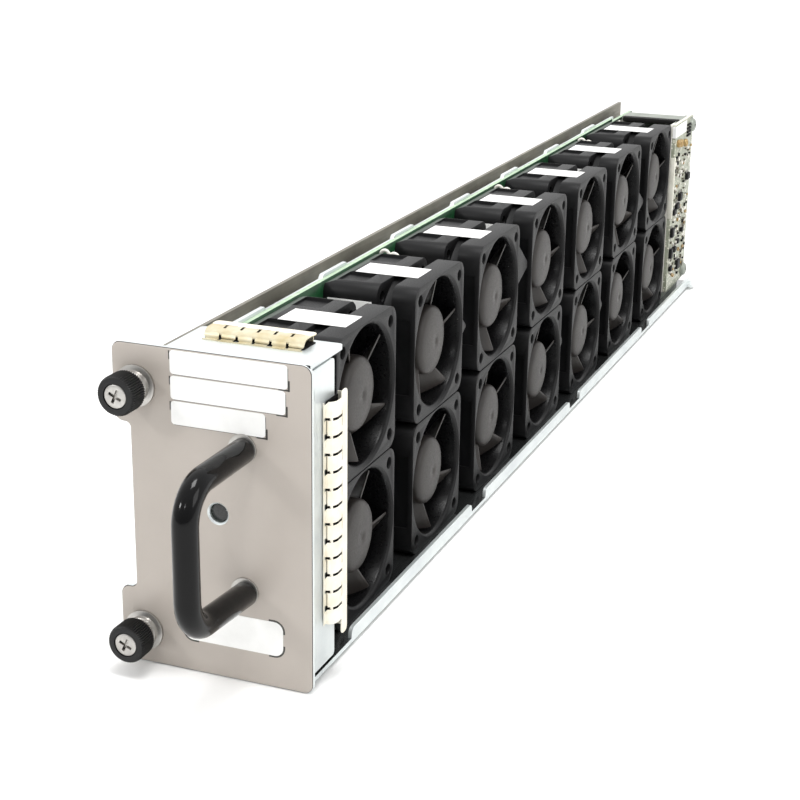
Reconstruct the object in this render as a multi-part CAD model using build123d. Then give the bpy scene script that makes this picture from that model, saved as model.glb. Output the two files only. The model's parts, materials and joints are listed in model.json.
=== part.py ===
from build123d import *
import math
import os

# Switch fan tray: two rows of axial fans stand on a sheet-metal tray behind a front plate.
# Millimetres. +X is the side where the fans draw air in, +Y runs from the front plate to
# the rear, +Z is up. The origin is on the underside of the tray, below the row's middle.

# Round forms that repeat or stay hidden are prisms with this many sides
ROUND_SIDES = 20
HUB_SIDES = 15
BAR_SIDES = 12
SMALL_SIDES = 12

# Fans
FAN_COLUMNS = 7
COLUMN_GAP = 14.3
ROW_GAP = 0.4
FAN_SIZE = 40.0
FAN_DEPTH = 28.0
FAN_CORNER = 2.4
BORE_MARGIN = 1.3
INLET_FLANGE_T = 7.2
NOTCH_WIDTH = 4.4
BARREL_WALL = 1.0
MOTOR_BASE_D = 21.0
MOTOR_BASE_T = 3.4
STRUT_COUNT = 4
STRUT_WIDTH = 2.6
BEARING_END_WALL = 0.8

# Rotors
HUB_D = 20.5
HUB_RECESS = 1.3
HUB_EDGE = 1.2
HUB_REAR_GAP = 0.8
SHAFT_D = 3.0
SHAFT_CLEARANCE = 0.05
SHAFT_END_PLAY = 0.2
BLADE_COUNT = 5
TIP_CLEARANCE = 0.7
BLADE_T = 1.2
BLADE_SPAN_X = 17.0
BLADE_RECESS = 2.4
BLADE_SWEEP = 15.0
BLADE_FACETS = 4
BLADE_CAMBER = 1.5
ROTOR_REST_ANGLE = -40.0
ROTOR_STEP_ANGLE = -15.0

# Tray, one folded sheet: floor, low lip on the inlet side, tall wall on the outlet side
SHEET_T = 1.2
LIP_X = 18.4
LIP_H = 4.0
LIP_T = 1.0
LIP_END_R = 2.0
LIP_NOTCH = 13.0
TRAY_REAR_ROOM = 42.1
WALL_X = 21.2
WALL_RISE = 1.6
WALL_HOLE_MARGIN = 1.5
FRONT_TAB_H = 12.0
FRONT_TAB_SIDE = 4.0

# Fan board and the panel behind it
BOARD_T = 1.6
BOARD_DROP = 0.3
BOARD_FRONT_ROOM = 17.1
BOARD_REAR_ROOM = 4.1
BOARD_TAIL_ROOM = 40.1
BOARD_TAIL_DROP = 1.5
PANEL_REAR_ROOM = 12.2
PANEL_DROP = 0.6
PANEL_TAB_H = 1.2
PANEL_TAB_L = 19.0
PANEL_TAB_BEVEL = 2.5
PANEL_TAB_SHIFT = -8.0
WINDOW_SIDE = 2.0
WINDOW_MARGIN = 8.5
SPACER_W = 6.0
CONNECTOR_W = 7.0
CONNECTOR_H = 5.0
CONNECTOR_DEPTH = 5.5
CONNECTOR_RISE = 11.0
CONNECTOR_SLOT = 1.2
CONNECTOR_SETBACK = 1.0
LEAD_W = 4.0
LEAD_T = 1.0

# Front plate with its two rearward flanges
PLATE_ROOM = 27.9
PLATE_LEFT = 33.5
PLATE_NECK = 29.0
PLATE_RIGHT = 20.0
PLATE_RISE = 2.4
PLATE_BOTTOM = -1.2
EAR_H = 20.5
PLATE_CORNER_R = 2.5
NECK_CORNER_R = 1.5
TOP_FLANGE_DEPTH = 20.0
TOP_FLANGE_MARGIN = 0.6
TOP_FLANGE_LEFT = 19.0
SIDE_FLANGE_DEPTH = 13.5
SIDE_FLANGE_MARGIN = 2.2
SIDE_FLANGE_FOOT = 2.4
SIDE_FLANGE_CORNER_R = 4.0

# Handle
HANDLE_X = 2.2
HANDLE_LOW_Z = 23.4
HANDLE_PITCH = 37.5
HANDLE_D = 6.4
HANDLE_REACH = 30.0
HANDLE_BEND_R = 9.0
HANDLE_WASHER_D = 7.4
HANDLE_WASHER_T = 0.6
HANDLE_SCREW_D = 3.0
HANDLE_SCREW_DEPTH = 6.0
SCREW_HOLE_DEPTH = 7.0
HANDLE_SCREW_HEAD_D = 6.0
HANDLE_SCREW_HEAD_H = 2.0
SCREW_FIT = 0.05

# Captive screws
CAPTIVE_X = 27.0
CAPTIVE_LOW_Z = 7.8
CAPTIVE_HIGH_Z = 73.3
KNOB_D = 10.3
KNOB_L = 6.0
KNOB_EDGE = 0.9
KNOB_SKIRT_D = 8.4
KNOB_REST_GAP = 3.9
KNOB_HEAD_POCKET = 1.2
CAPTIVE_TRAVEL = 3.0
THREAD_D = 4.0
THREAD_L = 4.5
THREAD_TIP = 0.5
NECK_D = 3.2
HEAD_D = 6.2
FERRULE_D = 7.9
FERRULE_H = 3.6
FERRULE_FLANGE_D = 10.7
FERRULE_FLANGE_T = 0.8
FERRULE_LIP = 0.6
FERRULE_POCKET_D = 6.9
FERRULE_FLOOR_T = 1.2
SPRING_OD = 6.3
SPRING_ID = 5.3
THRUST_WASHER_D = 6.6
THRUST_WASHER_T = 0.5
SLIDE_CLEARANCE = 0.1

# Status light behind its hole
STATUS_X = -5.3
STATUS_Z = 43.1
STATUS_HOLE_D = 5.0
LENS_CLEARANCE = 0.05
LENS_RECESS = 0.5
LENS_FLANGE_D = 7.0
LENS_FLANGE_T = 1.0
LENS_STEM_L = 4.0

# Spring-finger gaskets
FINGER_PITCH = 4.5
FINGER_SLIT = 0.35
FINGER_T = 0.3
FINGER_RISE = 2.5
FINGER_NOSE = 2.8
FINGER_FACETS = 3
STRIP_WIDTH = 8.2
STRIP_RAIL_W = 3.2
STRIP_FOOT = 0.8
TOP_FINGERS = 6
SIDE_FINGERS = 13
TOP_STRIP_SETBACK = 10.2
SIDE_STRIP_SETBACK = 7.0
SIDE_STRIP_LOW_Z = 14.8

# Labels
LABEL_T = 0.15
LABEL_LEFT = -17.4
LABEL_PITCH = 6.4
LABEL_H = 6.0
LABEL_TOP_MARGIN = 0.5
LABEL_WIDTHS = (31.2, 30.6, 25.3)
LOW_LABEL_W = 27.4
LOW_LABEL_H = 9.2
LOW_LABEL_X = -1.7
LOW_LABEL_Z = 12.2
LOW_LABEL_R = 2.4
FAN_LABEL_L = 19.2
FAN_LABEL_W = 11.0
FAN_LABEL_X = 0.15
FAN_LABEL_SHIFT = -1.8
SIDE_LABEL_L = 13.5
SIDE_LABEL_H = 20.0
SIDE_LABEL_X = -5.9
SIDE_LABEL_DROP = 5.0

# Rear end: bracket, rear board with its parts, screws and the plug-in connector
BRACKET_FRONT_ROOM = 1.6
BRACKET_BACK_ROOM = 33.1
BRACKET_POST = 10.0
BRACKET_LEFT = -12.8
BRACKET_SIDE_X = 11.8
BRACKET_TOP_GAP = 3.2
BRACKET_FLANGE = 16.0
REAR_BOARD_GAP = 1.0
REAR_BOARD_ROOM = 36.6
REAR_BOARD_LOW_Z = 5.0
REAR_BOARD_TOP_GAP = 0.5
REAR_SCREW_D = 3.0
REAR_SCREW_HEAD_D = 5.8
REAR_SCREW_HEAD_H = 1.6
REAR_WASHER_D = 7.0
REAR_WASHER_T = 0.5
REAR_SCREW_INSET = 4.2
STANDOFF_D = 5.5
PLUG_W = 11.0
PLUG_H = 46.0
PLUG_L = 10.0
PLUG_WALL = 1.4
PLUG_Z = 42.0

# Components on the rear board: size along X, Y and Z, then place and step along Y and Z
# from the board's front lower corner
CHIP_COUNT = 3
CHIP_SIZE = (1.3, 8.0, 8.0)
CHIP_START = (3.0, 3.0)
CHIP_STEP = (8.5, 22.0)
COIL_COUNT = 2
COIL_SIZE = (2.6, 6.0, 9.0)
COIL_START = (18.0, 7.0)
COIL_STEP = (-13.0, 33.0)
SMALL_COUNT = 5
SMALL_SIZE = (1.6, 1.6, 3.2)
SMALL_START = (8.0, 15.5)
SMALL_STEP = (3.6, 1.2)
TOP_PART_COUNT = 5
TOP_PART_SIZE = (1.8, 3.4, 3.0)
TOP_PART_START = (5.0, 61.0)
TOP_PART_STEP = (5.4, 0.0)

# Places worked out from the sizes above
INLET_X = FAN_DEPTH / 2
OUTLET_X = -FAN_DEPTH / 2
BORE_D = FAN_SIZE - 2 * BORE_MARGIN
BLADE_TIP_R = BORE_D / 2 - TIP_CLEARANCE
ROW_PITCH = FAN_SIZE + ROW_GAP
LOW_ROW_Z = SHEET_T + FAN_SIZE / 2
HIGH_ROW_Z = LOW_ROW_Z + ROW_PITCH
FAN_TOP_Z = HIGH_ROW_Z + FAN_SIZE / 2
COLUMN_PITCH = FAN_SIZE + COLUMN_GAP
COLUMN_Y = [(i - (FAN_COLUMNS - 1) / 2) * COLUMN_PITCH for i in range(FAN_COLUMNS)]
FANS_END_Y = COLUMN_Y[-1] + FAN_SIZE / 2
FACE_Y = -FANS_END_Y - PLATE_ROOM
PLATE_REAR_Y = FACE_Y + SHEET_T
PLATE_TOP = FAN_TOP_Z + PLATE_RISE
TRAY_REAR = FANS_END_Y + TRAY_REAR_ROOM
WALL_H = FAN_TOP_Z + WALL_RISE
WALL_HOLE_D = FAN_SIZE - 2 * WALL_HOLE_MARGIN
BOARD_TOP = FAN_TOP_Z - BOARD_DROP
PANEL_TOP = FAN_TOP_Z - PANEL_DROP
BOARD_FRONT = -FANS_END_Y - BOARD_FRONT_ROOM
BOARD_REAR = FANS_END_Y + BOARD_REAR_ROOM
BOARD_TAIL = FANS_END_Y + BOARD_TAIL_ROOM
PANEL_REAR = FANS_END_Y + PANEL_REAR_ROOM
WINDOW_W = FAN_SIZE - 2 * WINDOW_SIDE
BRACKET_FRONT = FANS_END_Y + BRACKET_FRONT_ROOM
BRACKET_BACK = FANS_END_Y + BRACKET_BACK_ROOM
REAR_BOARD_REAR = FANS_END_Y + REAR_BOARD_ROOM
BOARD_X = OUTLET_X - BOARD_T
PANEL_X = BOARD_X - SHEET_T
WALL_INNER_X = -WALL_X + SHEET_T
BASE_FRONT_X = OUTLET_X + MOTOR_BASE_T
HUB_REAR_X = BASE_FRONT_X + HUB_REAR_GAP
HUB_FRONT_X = INLET_X - HUB_RECESS
BEARING_END_X = OUTLET_X + BEARING_END_WALL
REAR_BOARD_X = BRACKET_SIDE_X + SHEET_T + REAR_BOARD_GAP
REAR_BOARD_TOP = BOARD_TOP - REAR_BOARD_TOP_GAP
BRACKET_TOP = WALL_H - BRACKET_TOP_GAP


def block(x, y, z):
    """Box between two limits on each axis."""
    middle = [(side[0] + side[1]) / 2 for side in (x, y, z)]
    return Pos(*middle) * Box(x[1] - x[0], y[1] - y[0], z[1] - z[0])


def rod_y(diameter, y, x=0.0, z=0.0):
    """Cylinder along Y between two limits."""
    return Pos(x, (y[0] + y[1]) / 2, z) * Rot(90, 0, 0) * Cylinder(diameter / 2, y[1] - y[0])


def prism_x(diameter, x, y=0.0, z=0.0, sides=ROUND_SIDES):
    """Regular prism along X between two limits, its corners on the diameter."""
    outline = Plane.YZ * RegularPolygon(diameter / 2, sides)
    return Pos(x[0], y, z) * extrude(outline, x[1] - x[0])


def prism_y(diameter, y, x=0.0, z=0.0, sides=ROUND_SIDES):
    """Regular prism along Y between two limits, its corners on the diameter."""
    outline = Plane.XZ * RegularPolygon(diameter / 2, sides)
    return Pos(x, y[1], z) * extrude(outline, y[1] - y[0])


def across(diameter, sides=ROUND_SIDES):
    """Corner-to-corner size of a regular opening whose flats just clear a diameter."""
    return diameter / math.cos(math.pi / sides)


def upright(y):
    """Plane at a given Y whose local axes are X and Z, facing the front."""
    return Plane(origin=(0, y, 0), x_dir=(1, 0, 0), z_dir=(0, -1, 0))


def save(name, *solids):
    """Write one node, which may be a group of separate solids."""
    shape = solids[0] if len(solids) == 1 else Compound(children=list(solids))
    export_step(shape, os.path.join("parts", name + ".step"))


def fan_frame():
    """Moulded fan housing about the origin, its inlet face at +X."""
    body = Box(FAN_DEPTH, FAN_SIZE, FAN_SIZE)
    body = chamfer(body.edges().filter_by(Axis.X), FAN_CORNER)
    notch_x = (INLET_X - INLET_FLANGE_T - NOTCH_WIDTH, INLET_X - INLET_FLANGE_T)
    whole = (-FAN_SIZE, FAN_SIZE)
    barrel = prism_x(BORE_D + 2 * BARREL_WALL, notch_x)
    body -= block(notch_x, whole, whole) - barrel
    body -= prism_x(BORE_D, (OUTLET_X, INLET_X))
    base_x = (OUTLET_X, BASE_FRONT_X)
    motor = prism_x(MOTOR_BASE_D, base_x)
    for i in range(STRUT_COUNT):
        arm = block(base_x, (0, BORE_D / 2 + BARREL_WALL / 2), (-STRUT_WIDTH / 2, STRUT_WIDTH / 2))
        motor += Rot(45 + i * 360 / STRUT_COUNT, 0, 0) * arm
    body += motor
    bearing_d = across(SHAFT_D + 2 * SHAFT_CLEARANCE, SMALL_SIDES)
    return body - prism_x(bearing_d, (BEARING_END_X, BASE_FRONT_X), sides=SMALL_SIDES)


def blade():
    """One cambered blade, standing on the hub along +Z, its tip trimmed round."""
    camber = []
    for i in range(BLADE_FACETS + 1):
        along = i / BLADE_FACETS
        x = HUB_FRONT_X - BLADE_RECESS - BLADE_SPAN_X * along
        camber.append((x, BLADE_SWEEP * (along**BLADE_CAMBER - 0.5)))
    outline = [(x, y - BLADE_T / 2) for x, y in camber]
    outline += [(x, y + BLADE_T / 2) for x, y in reversed(camber)]
    upright_blade = extrude(Plane.XY * make_face(Polyline(*outline, close=True)), BLADE_TIP_R)
    return upright_blade & prism_x(2 * BLADE_TIP_R, (HUB_REAR_X, HUB_FRONT_X))


def fan_rotor():
    """Hub with its edge bevelled, five blades and the shaft, moulded as one piece."""
    hub = prism_x(HUB_D, (HUB_REAR_X, HUB_FRONT_X), sides=HUB_SIDES)
    rotor = chamfer(hub.faces().sort_by(Axis.X)[-1].edges(), HUB_EDGE)
    one_blade = blade()
    for i in range(BLADE_COUNT):
        rotor += Rot(i * 360 / BLADE_COUNT, 0, 0) * one_blade
    shaft_x = (BEARING_END_X + SHAFT_END_PLAY, HUB_REAR_X + 1)
    return rotor + prism_x(SHAFT_D, shaft_x, sides=SMALL_SIDES)


def save_fans():
    """Two rows of fan housings, and a rotor in each."""
    frame = fan_frame()
    rotor = fan_rotor()
    for row, (name, z) in enumerate((("lower", LOW_ROW_Z), ("upper", HIGH_ROW_Z))):
        save("fan_frames_" + name, *[Pos(0, y, z) * frame for y in COLUMN_Y])
        for column, y in enumerate(COLUMN_Y):
            turn = ROTOR_REST_ANGLE + ROTOR_STEP_ANGLE * ((column + row) % 2)
            save(f"fan_rotor_{name}_{column + 1}", Pos(0, y, z) * Rot(turn, 0, 0) * rotor)


def lip_spans():
    """Stretches of the tray's lip: a notch lies behind every second column."""
    start = COLUMN_Y[0] - FAN_SIZE / 2
    spans = []
    for column in range(1, FAN_COLUMNS - 1, 2):
        middle = COLUMN_Y[column] + COLUMN_PITCH / 2
        spans.append((start, middle - LIP_NOTCH / 2))
        start = middle + LIP_NOTCH / 2
    return spans + [(start, TRAY_REAR)]


def tray_base():
    """Folded tray: floor, lip, outlet wall with a hole behind each fan, front tab."""
    floor = block((-WALL_X, LIP_X), (PLATE_REAR_Y, TRAY_REAR), (0, SHEET_T))
    wall = block((-WALL_X, WALL_INNER_X), (PLATE_REAR_Y, TRAY_REAR), (0, WALL_H))
    for y in COLUMN_Y:
        for z in (LOW_ROW_Z, HIGH_ROW_Z):
            wall -= prism_x(WALL_HOLE_D, (-WALL_X, WALL_INNER_X), y, z)
    tray = floor + wall
    for span in lip_spans():
        lip = block((LIP_X - LIP_T, LIP_X), span, (0, LIP_H))
        tops = lip.edges().filter_by(Axis.X).group_by(Axis.Z)[-1]
        tray += fillet(tops, LIP_END_R)
    tab_x = (PANEL_X, LIP_X - FRONT_TAB_SIDE)
    tab_y = (PLATE_REAR_Y, PLATE_REAR_Y + SHEET_T)
    return tray + block(tab_x, tab_y, (0, FRONT_TAB_H))


def with_windows(sheet, x):
    """Cut a window for each column of fans through an upright sheet."""
    for y in COLUMN_Y:
        side = (y - WINDOW_W / 2, y + WINDOW_W / 2)
        sheet -= block(x, side, (SHEET_T + WINDOW_MARGIN, FAN_TOP_Z - WINDOW_MARGIN))
    return sheet


def fan_board():
    """Circuit board that carries the fans' connectors, its tail lower by a step."""
    x = (BOARD_X, OUTLET_X)
    board = with_windows(block(x, (BOARD_FRONT, BOARD_REAR), (SHEET_T, BOARD_TOP)), x)
    return board + block(x, (BOARD_REAR, BOARD_TAIL), (SHEET_T, BOARD_TOP - BOARD_TAIL_DROP))


def inner_panel():
    """Sheet behind the board, with a bevelled tab above each column."""
    x = (PANEL_X, BOARD_X)
    panel = with_windows(block(x, (BOARD_FRONT, PANEL_REAR), (SHEET_T, PANEL_TOP)), x)
    bevel = math.degrees(math.atan(PANEL_TAB_H / PANEL_TAB_BEVEL))
    tab = Plane.YZ * Trapezoid(PANEL_TAB_L, PANEL_TAB_H, bevel)
    for y in COLUMN_Y:
        place = Pos(PANEL_X, y + PANEL_TAB_SHIFT, PANEL_TOP + PANEL_TAB_H / 2)
        panel += place * extrude(tab, SHEET_T)
    return panel


def panel_spacers():
    """Posts that hold the panel off the tray's wall, one in each gap and at both ends."""
    posts = []
    middle_z = (LOW_ROW_Z + HIGH_ROW_Z) / 2
    height = (middle_z - SPACER_W / 2, middle_z + SPACER_W / 2)
    gaps = [COLUMN_Y[0] - COLUMN_PITCH / 2] + [y + COLUMN_PITCH / 2 for y in COLUMN_Y]
    for y in gaps:
        side = (y - SPACER_W / 2, y + SPACER_W / 2)
        posts.append(block((WALL_INNER_X, PANEL_X), side, height))
    return posts


def connector_places():
    """Middle of each connector, in the gap behind its fan."""
    offset = FAN_SIZE / 2 + CONNECTOR_SETBACK + CONNECTOR_W / 2
    return [(y + offset, z + CONNECTOR_RISE) for z in (LOW_ROW_Z, HIGH_ROW_Z) for y in COLUMN_Y]


def board_connectors():
    """Shrouded headers on the fan board."""
    headers = []
    x = (OUTLET_X, OUTLET_X + CONNECTOR_DEPTH)
    for y, z in connector_places():
        side = (y - CONNECTOR_W / 2, y + CONNECTOR_W / 2)
        header = block(x, side, (z - CONNECTOR_H / 2, z + CONNECTOR_H / 2))
        mouth_y = (side[0] + CONNECTOR_SLOT, side[1] - CONNECTOR_SLOT)
        mouth_z = (z - CONNECTOR_H / 2 + CONNECTOR_SLOT, z + CONNECTOR_H / 2 - CONNECTOR_SLOT)
        headers.append(header - block((x[0] + 1, x[1]), mouth_y, mouth_z))
    return headers


def lead(y, z):
    """Flat lead from a fan's side into the header beside it."""
    header_x = OUTLET_X + CONNECTOR_DEPTH
    side_y = y - CONNECTOR_W / 2 - CONNECTOR_SETBACK
    plug_x = (OUTLET_X + 1, header_x + LEAD_W)
    band = (z - LEAD_T / 2, z + LEAD_T / 2)
    plug = block(plug_x, (y - LEAD_W / 2, y + LEAD_W / 2), band)
    return plug + block((header_x, header_x + LEAD_W), (side_y, y), band)


def fan_leads():
    """One lead for each fan."""
    return [lead(y, z) for y, z in connector_places()]


def plate_outline():
    """Front plate's face: a tall sheet with an ear above and below on the left."""
    height = PLATE_TOP - PLATE_BOTTOM
    middle_z = (PLATE_TOP + PLATE_BOTTOM) / 2
    face = Pos((PLATE_RIGHT - PLATE_NECK) / 2, middle_z) * Rectangle(PLATE_RIGHT + PLATE_NECK, height)
    ear_w = PLATE_LEFT - PLATE_NECK + NECK_CORNER_R
    ear = Rectangle(ear_w, EAR_H)
    ear_x = -PLATE_LEFT + ear_w / 2
    face += Pos(ear_x, PLATE_TOP - EAR_H / 2) * ear
    face += Pos(ear_x, PLATE_BOTTOM + EAR_H / 2) * ear
    face = fillet(face.vertices().filter_by_position(Axis.X, -PLATE_NECK, -PLATE_NECK), NECK_CORNER_R)
    outer = face.vertices().filter_by_position(Axis.X, -PLATE_LEFT, -PLATE_LEFT)
    outer += face.vertices().filter_by_position(Axis.X, PLATE_RIGHT, PLATE_RIGHT)
    return fillet(outer, PLATE_CORNER_R)


def front_plate():
    """Plate with its holes, its top flange and its side flange."""
    plate = extrude(upright(FACE_Y) * plate_outline(), -SHEET_T)
    through = (FACE_Y, PLATE_REAR_Y)
    for z in (CAPTIVE_LOW_Z, CAPTIVE_HIGH_Z):
        plate -= rod_y(FERRULE_D, through, -CAPTIVE_X, z)
    for z in (HANDLE_LOW_Z, HANDLE_LOW_Z + HANDLE_PITCH):
        plate -= rod_y(HANDLE_SCREW_D + 2 * SCREW_FIT, through, HANDLE_X, z)
    plate -= rod_y(STATUS_HOLE_D, through, STATUS_X, STATUS_Z)
    top_x = (-TOP_FLANGE_LEFT, PLATE_RIGHT - TOP_FLANGE_MARGIN)
    top_y = (PLATE_REAR_Y, FACE_Y + TOP_FLANGE_DEPTH)
    plate += block(top_x, top_y, (PLATE_TOP - SHEET_T, PLATE_TOP))
    side_x = (PLATE_RIGHT - SHEET_T, PLATE_RIGHT)
    side_y = (PLATE_REAR_Y, FACE_Y + SIDE_FLANGE_DEPTH)
    side_z = (PLATE_BOTTOM + SIDE_FLANGE_FOOT, PLATE_TOP - SIDE_FLANGE_MARGIN)
    side = block(side_x, side_y, side_z)
    rear = side.edges().filter_by(Axis.X).group_by(Axis.Y)[-1]
    return plate + fillet(rear, SIDE_FLANGE_CORNER_R)


def handle():
    """Round bar bent to a U, its feet drilled for the screws from behind."""
    foot_y = FACE_Y - HANDLE_WASHER_T
    high_z = HANDLE_LOW_Z + HANDLE_PITCH
    bar_y = FACE_Y - HANDLE_REACH
    corners = [(foot_y, HANDLE_LOW_Z), (bar_y, HANDLE_LOW_Z), (bar_y, high_z), (foot_y, high_z)]
    path = FilletPolyline(*[(HANDLE_X, y, z) for y, z in corners], radius=HANDLE_BEND_R)
    start = Plane(origin=path @ 0, z_dir=path % 0)
    bar = sweep(start * RegularPolygon(HANDLE_D / 2, BAR_SIDES), path=path)
    hole_y = (foot_y - SCREW_HOLE_DEPTH, foot_y)
    for z in (HANDLE_LOW_Z, high_z):
        bar -= prism_y(across(HANDLE_SCREW_D + 2 * SCREW_FIT), hole_y, HANDLE_X, z)
    return bar


def handle_washers():
    """Plain washers under the handle's feet."""
    washers = []
    for z in (HANDLE_LOW_Z, HANDLE_LOW_Z + HANDLE_PITCH):
        span = (FACE_Y - HANDLE_WASHER_T, FACE_Y)
        washer = prism_y(HANDLE_WASHER_D, span, HANDLE_X, z)
        washers.append(washer - prism_y(across(HANDLE_SCREW_D + 2 * SCREW_FIT), span, HANDLE_X, z))
    return washers


def handle_screws():
    """Screws through the plate into the handle's feet."""
    screws = []
    for z in (HANDLE_LOW_Z, HANDLE_LOW_Z + HANDLE_PITCH):
        tip_y = FACE_Y - HANDLE_WASHER_T - HANDLE_SCREW_DEPTH
        screw = prism_y(HANDLE_SCREW_D, (tip_y, PLATE_REAR_Y), HANDLE_X, z)
        head = (PLATE_REAR_Y, PLATE_REAR_Y + HANDLE_SCREW_HEAD_H)
        screws.append(screw + prism_y(HANDLE_SCREW_HEAD_D, head, HANDLE_X, z))
    return screws


def out(near, far):
    """Two distances in front of the plate's face as limits along Y."""
    return (FACE_Y - far, FACE_Y - near)


def ferrule(x, z):
    """Retainer pressed through the plate, open in front for the spring."""
    ring = rod_y(FERRULE_D, out(-SHEET_T - FERRULE_LIP, FERRULE_H), x, z)
    ring += rod_y(FERRULE_FLANGE_D, out(0, FERRULE_FLANGE_T), x, z)
    pocket = FERRULE_FLOOR_T - SHEET_T - FERRULE_LIP
    ring -= prism_y(across(FERRULE_POCKET_D), out(pocket, FERRULE_H), x, z)
    neck_y = out(-SHEET_T - FERRULE_LIP, FERRULE_H)
    return ring - prism_y(across(NECK_D + 2 * SLIDE_CLEARANCE), neck_y, x, z)


def knob(x, z):
    """Knob whose hollow skirt slides over the ferrule."""
    front = KNOB_REST_GAP + KNOB_L
    cap = rod_y(KNOB_D, out(KNOB_REST_GAP, front), x, z)
    cap = chamfer(cap.edges().filter_by(GeomType.CIRCLE).sort_by(Axis.Y)[0], KNOB_EDGE)
    cap -= prism_y(across(KNOB_SKIRT_D), out(KNOB_REST_GAP, skirt_roof()), x, z)
    cap -= prism_y(HEAD_D, out(front - KNOB_HEAD_POCKET, front), x, z)
    return cap - prism_y(NECK_D, out(skirt_roof(), front), x, z)


def skirt_roof():
    """How far in front of the plate the knob's hollow ends."""
    return KNOB_REST_GAP + CAPTIVE_TRAVEL + THRUST_WASHER_T + SLIDE_CLEARANCE


def captive_screw(x, z):
    """Screw with its head in the knob; the thread is wider than its neck, so it stays captive."""
    front = KNOB_REST_GAP + KNOB_L
    shoulder = -SHEET_T - FERRULE_LIP - SLIDE_CLEARANCE
    screw = rod_y(THREAD_D, out(shoulder - THREAD_L, shoulder), x, z)
    tip = screw.edges().filter_by(GeomType.CIRCLE).sort_by(Axis.Y)[-1]
    screw = chamfer(tip, THREAD_TIP)
    screw += prism_y(NECK_D, out(shoulder, front - KNOB_HEAD_POCKET), x, z)
    return screw + prism_y(HEAD_D, out(front - KNOB_HEAD_POCKET, front), x, z)


def thrust_washer(x, z):
    """Washer between the spring and the knob."""
    span = out(skirt_roof() - THRUST_WASHER_T, skirt_roof())
    opening = prism_y(across(NECK_D + 2 * SLIDE_CLEARANCE), span, x, z)
    return prism_y(THRUST_WASHER_D, span, x, z) - opening


def captive_spring(x, z):
    """Closed sleeve with the spring's outer shape, from the ferrule's floor to the washer."""
    span = out(FERRULE_FLOOR_T - SHEET_T - FERRULE_LIP, skirt_roof() - THRUST_WASHER_T)
    return prism_y(SPRING_OD, span, x, z) - prism_y(SPRING_ID, span, x, z)


def save_captive_screws():
    """Two captive screws, one on each ear."""
    for name, z in (("lower", CAPTIVE_LOW_Z), ("upper", CAPTIVE_HIGH_Z)):
        save("captive_ferrule_" + name, ferrule(-CAPTIVE_X, z))
        save("captive_knob_" + name, knob(-CAPTIVE_X, z))
        save("captive_screw_" + name, captive_screw(-CAPTIVE_X, z))
        save("captive_washer_" + name, thrust_washer(-CAPTIVE_X, z))
        save("captive_spring_" + name, captive_spring(-CAPTIVE_X, z))


def status_lens():
    """Light pipe standing in the plate's hole, its flange against the plate's back."""
    flange_end = PLATE_REAR_Y + LENS_FLANGE_T
    stem = (FACE_Y + LENS_RECESS, flange_end + LENS_STEM_L)
    lens = prism_y(STATUS_HOLE_D - 2 * LENS_CLEARANCE, stem, STATUS_X, STATUS_Z)
    return lens + prism_y(LENS_FLANGE_D, (PLATE_REAR_Y, flange_end), STATUS_X, STATUS_Z)


def finger_section():
    """Section of one finger: a curved nose and a flat back, from front to rail."""
    outer = []
    inner = []
    for i in range(FINGER_FACETS + 1):
        angle = math.pi / 2 * i / FINGER_FACETS
        back = 1 - math.cos(angle)
        outer.append((FINGER_NOSE * back, FINGER_RISE * math.sin(angle)))
        inner.append((FINGER_T + (FINGER_NOSE - FINGER_T) * back, (FINGER_RISE - FINGER_T) * math.sin(angle)))
    rear = STRIP_WIDTH - STRIP_RAIL_W
    outer.append((rear, FINGER_RISE))
    inner.append((rear, FINGER_RISE - FINGER_T))
    return Plane.YZ * make_face(Polyline(*outer, *reversed(inner), close=True))


def finger_strip(fingers):
    """Row of spring fingers between a foot and a rail: length on X, width on Y, rise on Z."""
    finger = extrude(finger_section(), FINGER_PITCH - FINGER_SLIT)
    length = (0, fingers * FINGER_PITCH - FINGER_SLIT)
    strip = block(length, (-STRIP_FOOT, FINGER_T), (0, FINGER_T))
    strip += block(length, (STRIP_WIDTH - STRIP_RAIL_W, STRIP_WIDTH), (FINGER_RISE - FINGER_T, FINGER_RISE))
    strip += block(length, (STRIP_WIDTH - FINGER_T, STRIP_WIDTH), (0, FINGER_RISE))
    for i in range(fingers):
        strip += Pos(i * FINGER_PITCH, 0, 0) * finger
    return Pos(-length[1] / 2, 0, 0) * strip


def top_gasket():
    """Finger strip on the top flange."""
    middle_x = (PLATE_RIGHT - TOP_FLANGE_LEFT) / 2
    return Pos(middle_x, FACE_Y + TOP_STRIP_SETBACK, PLATE_TOP) * finger_strip(TOP_FINGERS)


def side_gasket():
    """Finger strip on the side flange, running upwards."""
    middle_z = SIDE_STRIP_LOW_Z + SIDE_FINGERS * FINGER_PITCH / 2
    middle = (PLATE_RIGHT, FACE_Y + SIDE_STRIP_SETBACK, middle_z)
    place = Plane(origin=middle, x_dir=(0, 0, -1), z_dir=(1, 0, 0))
    return place * finger_strip(SIDE_FINGERS)


def plate_labels():
    """Three stacked labels and a rounded one on the plate's face."""
    y = (FACE_Y - LABEL_T, FACE_Y)
    labels = []
    for i, width in enumerate(LABEL_WIDTHS):
        top = PLATE_TOP - LABEL_TOP_MARGIN - i * LABEL_PITCH
        labels.append(block((LABEL_LEFT, LABEL_LEFT + width), y, (top - LABEL_H, top)))
    low = RectangleRounded(LOW_LABEL_W, LOW_LABEL_H, LOW_LABEL_R)
    labels.append(extrude(upright(FACE_Y) * Pos(LOW_LABEL_X, LOW_LABEL_Z) * low, LABEL_T))
    return labels


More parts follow.
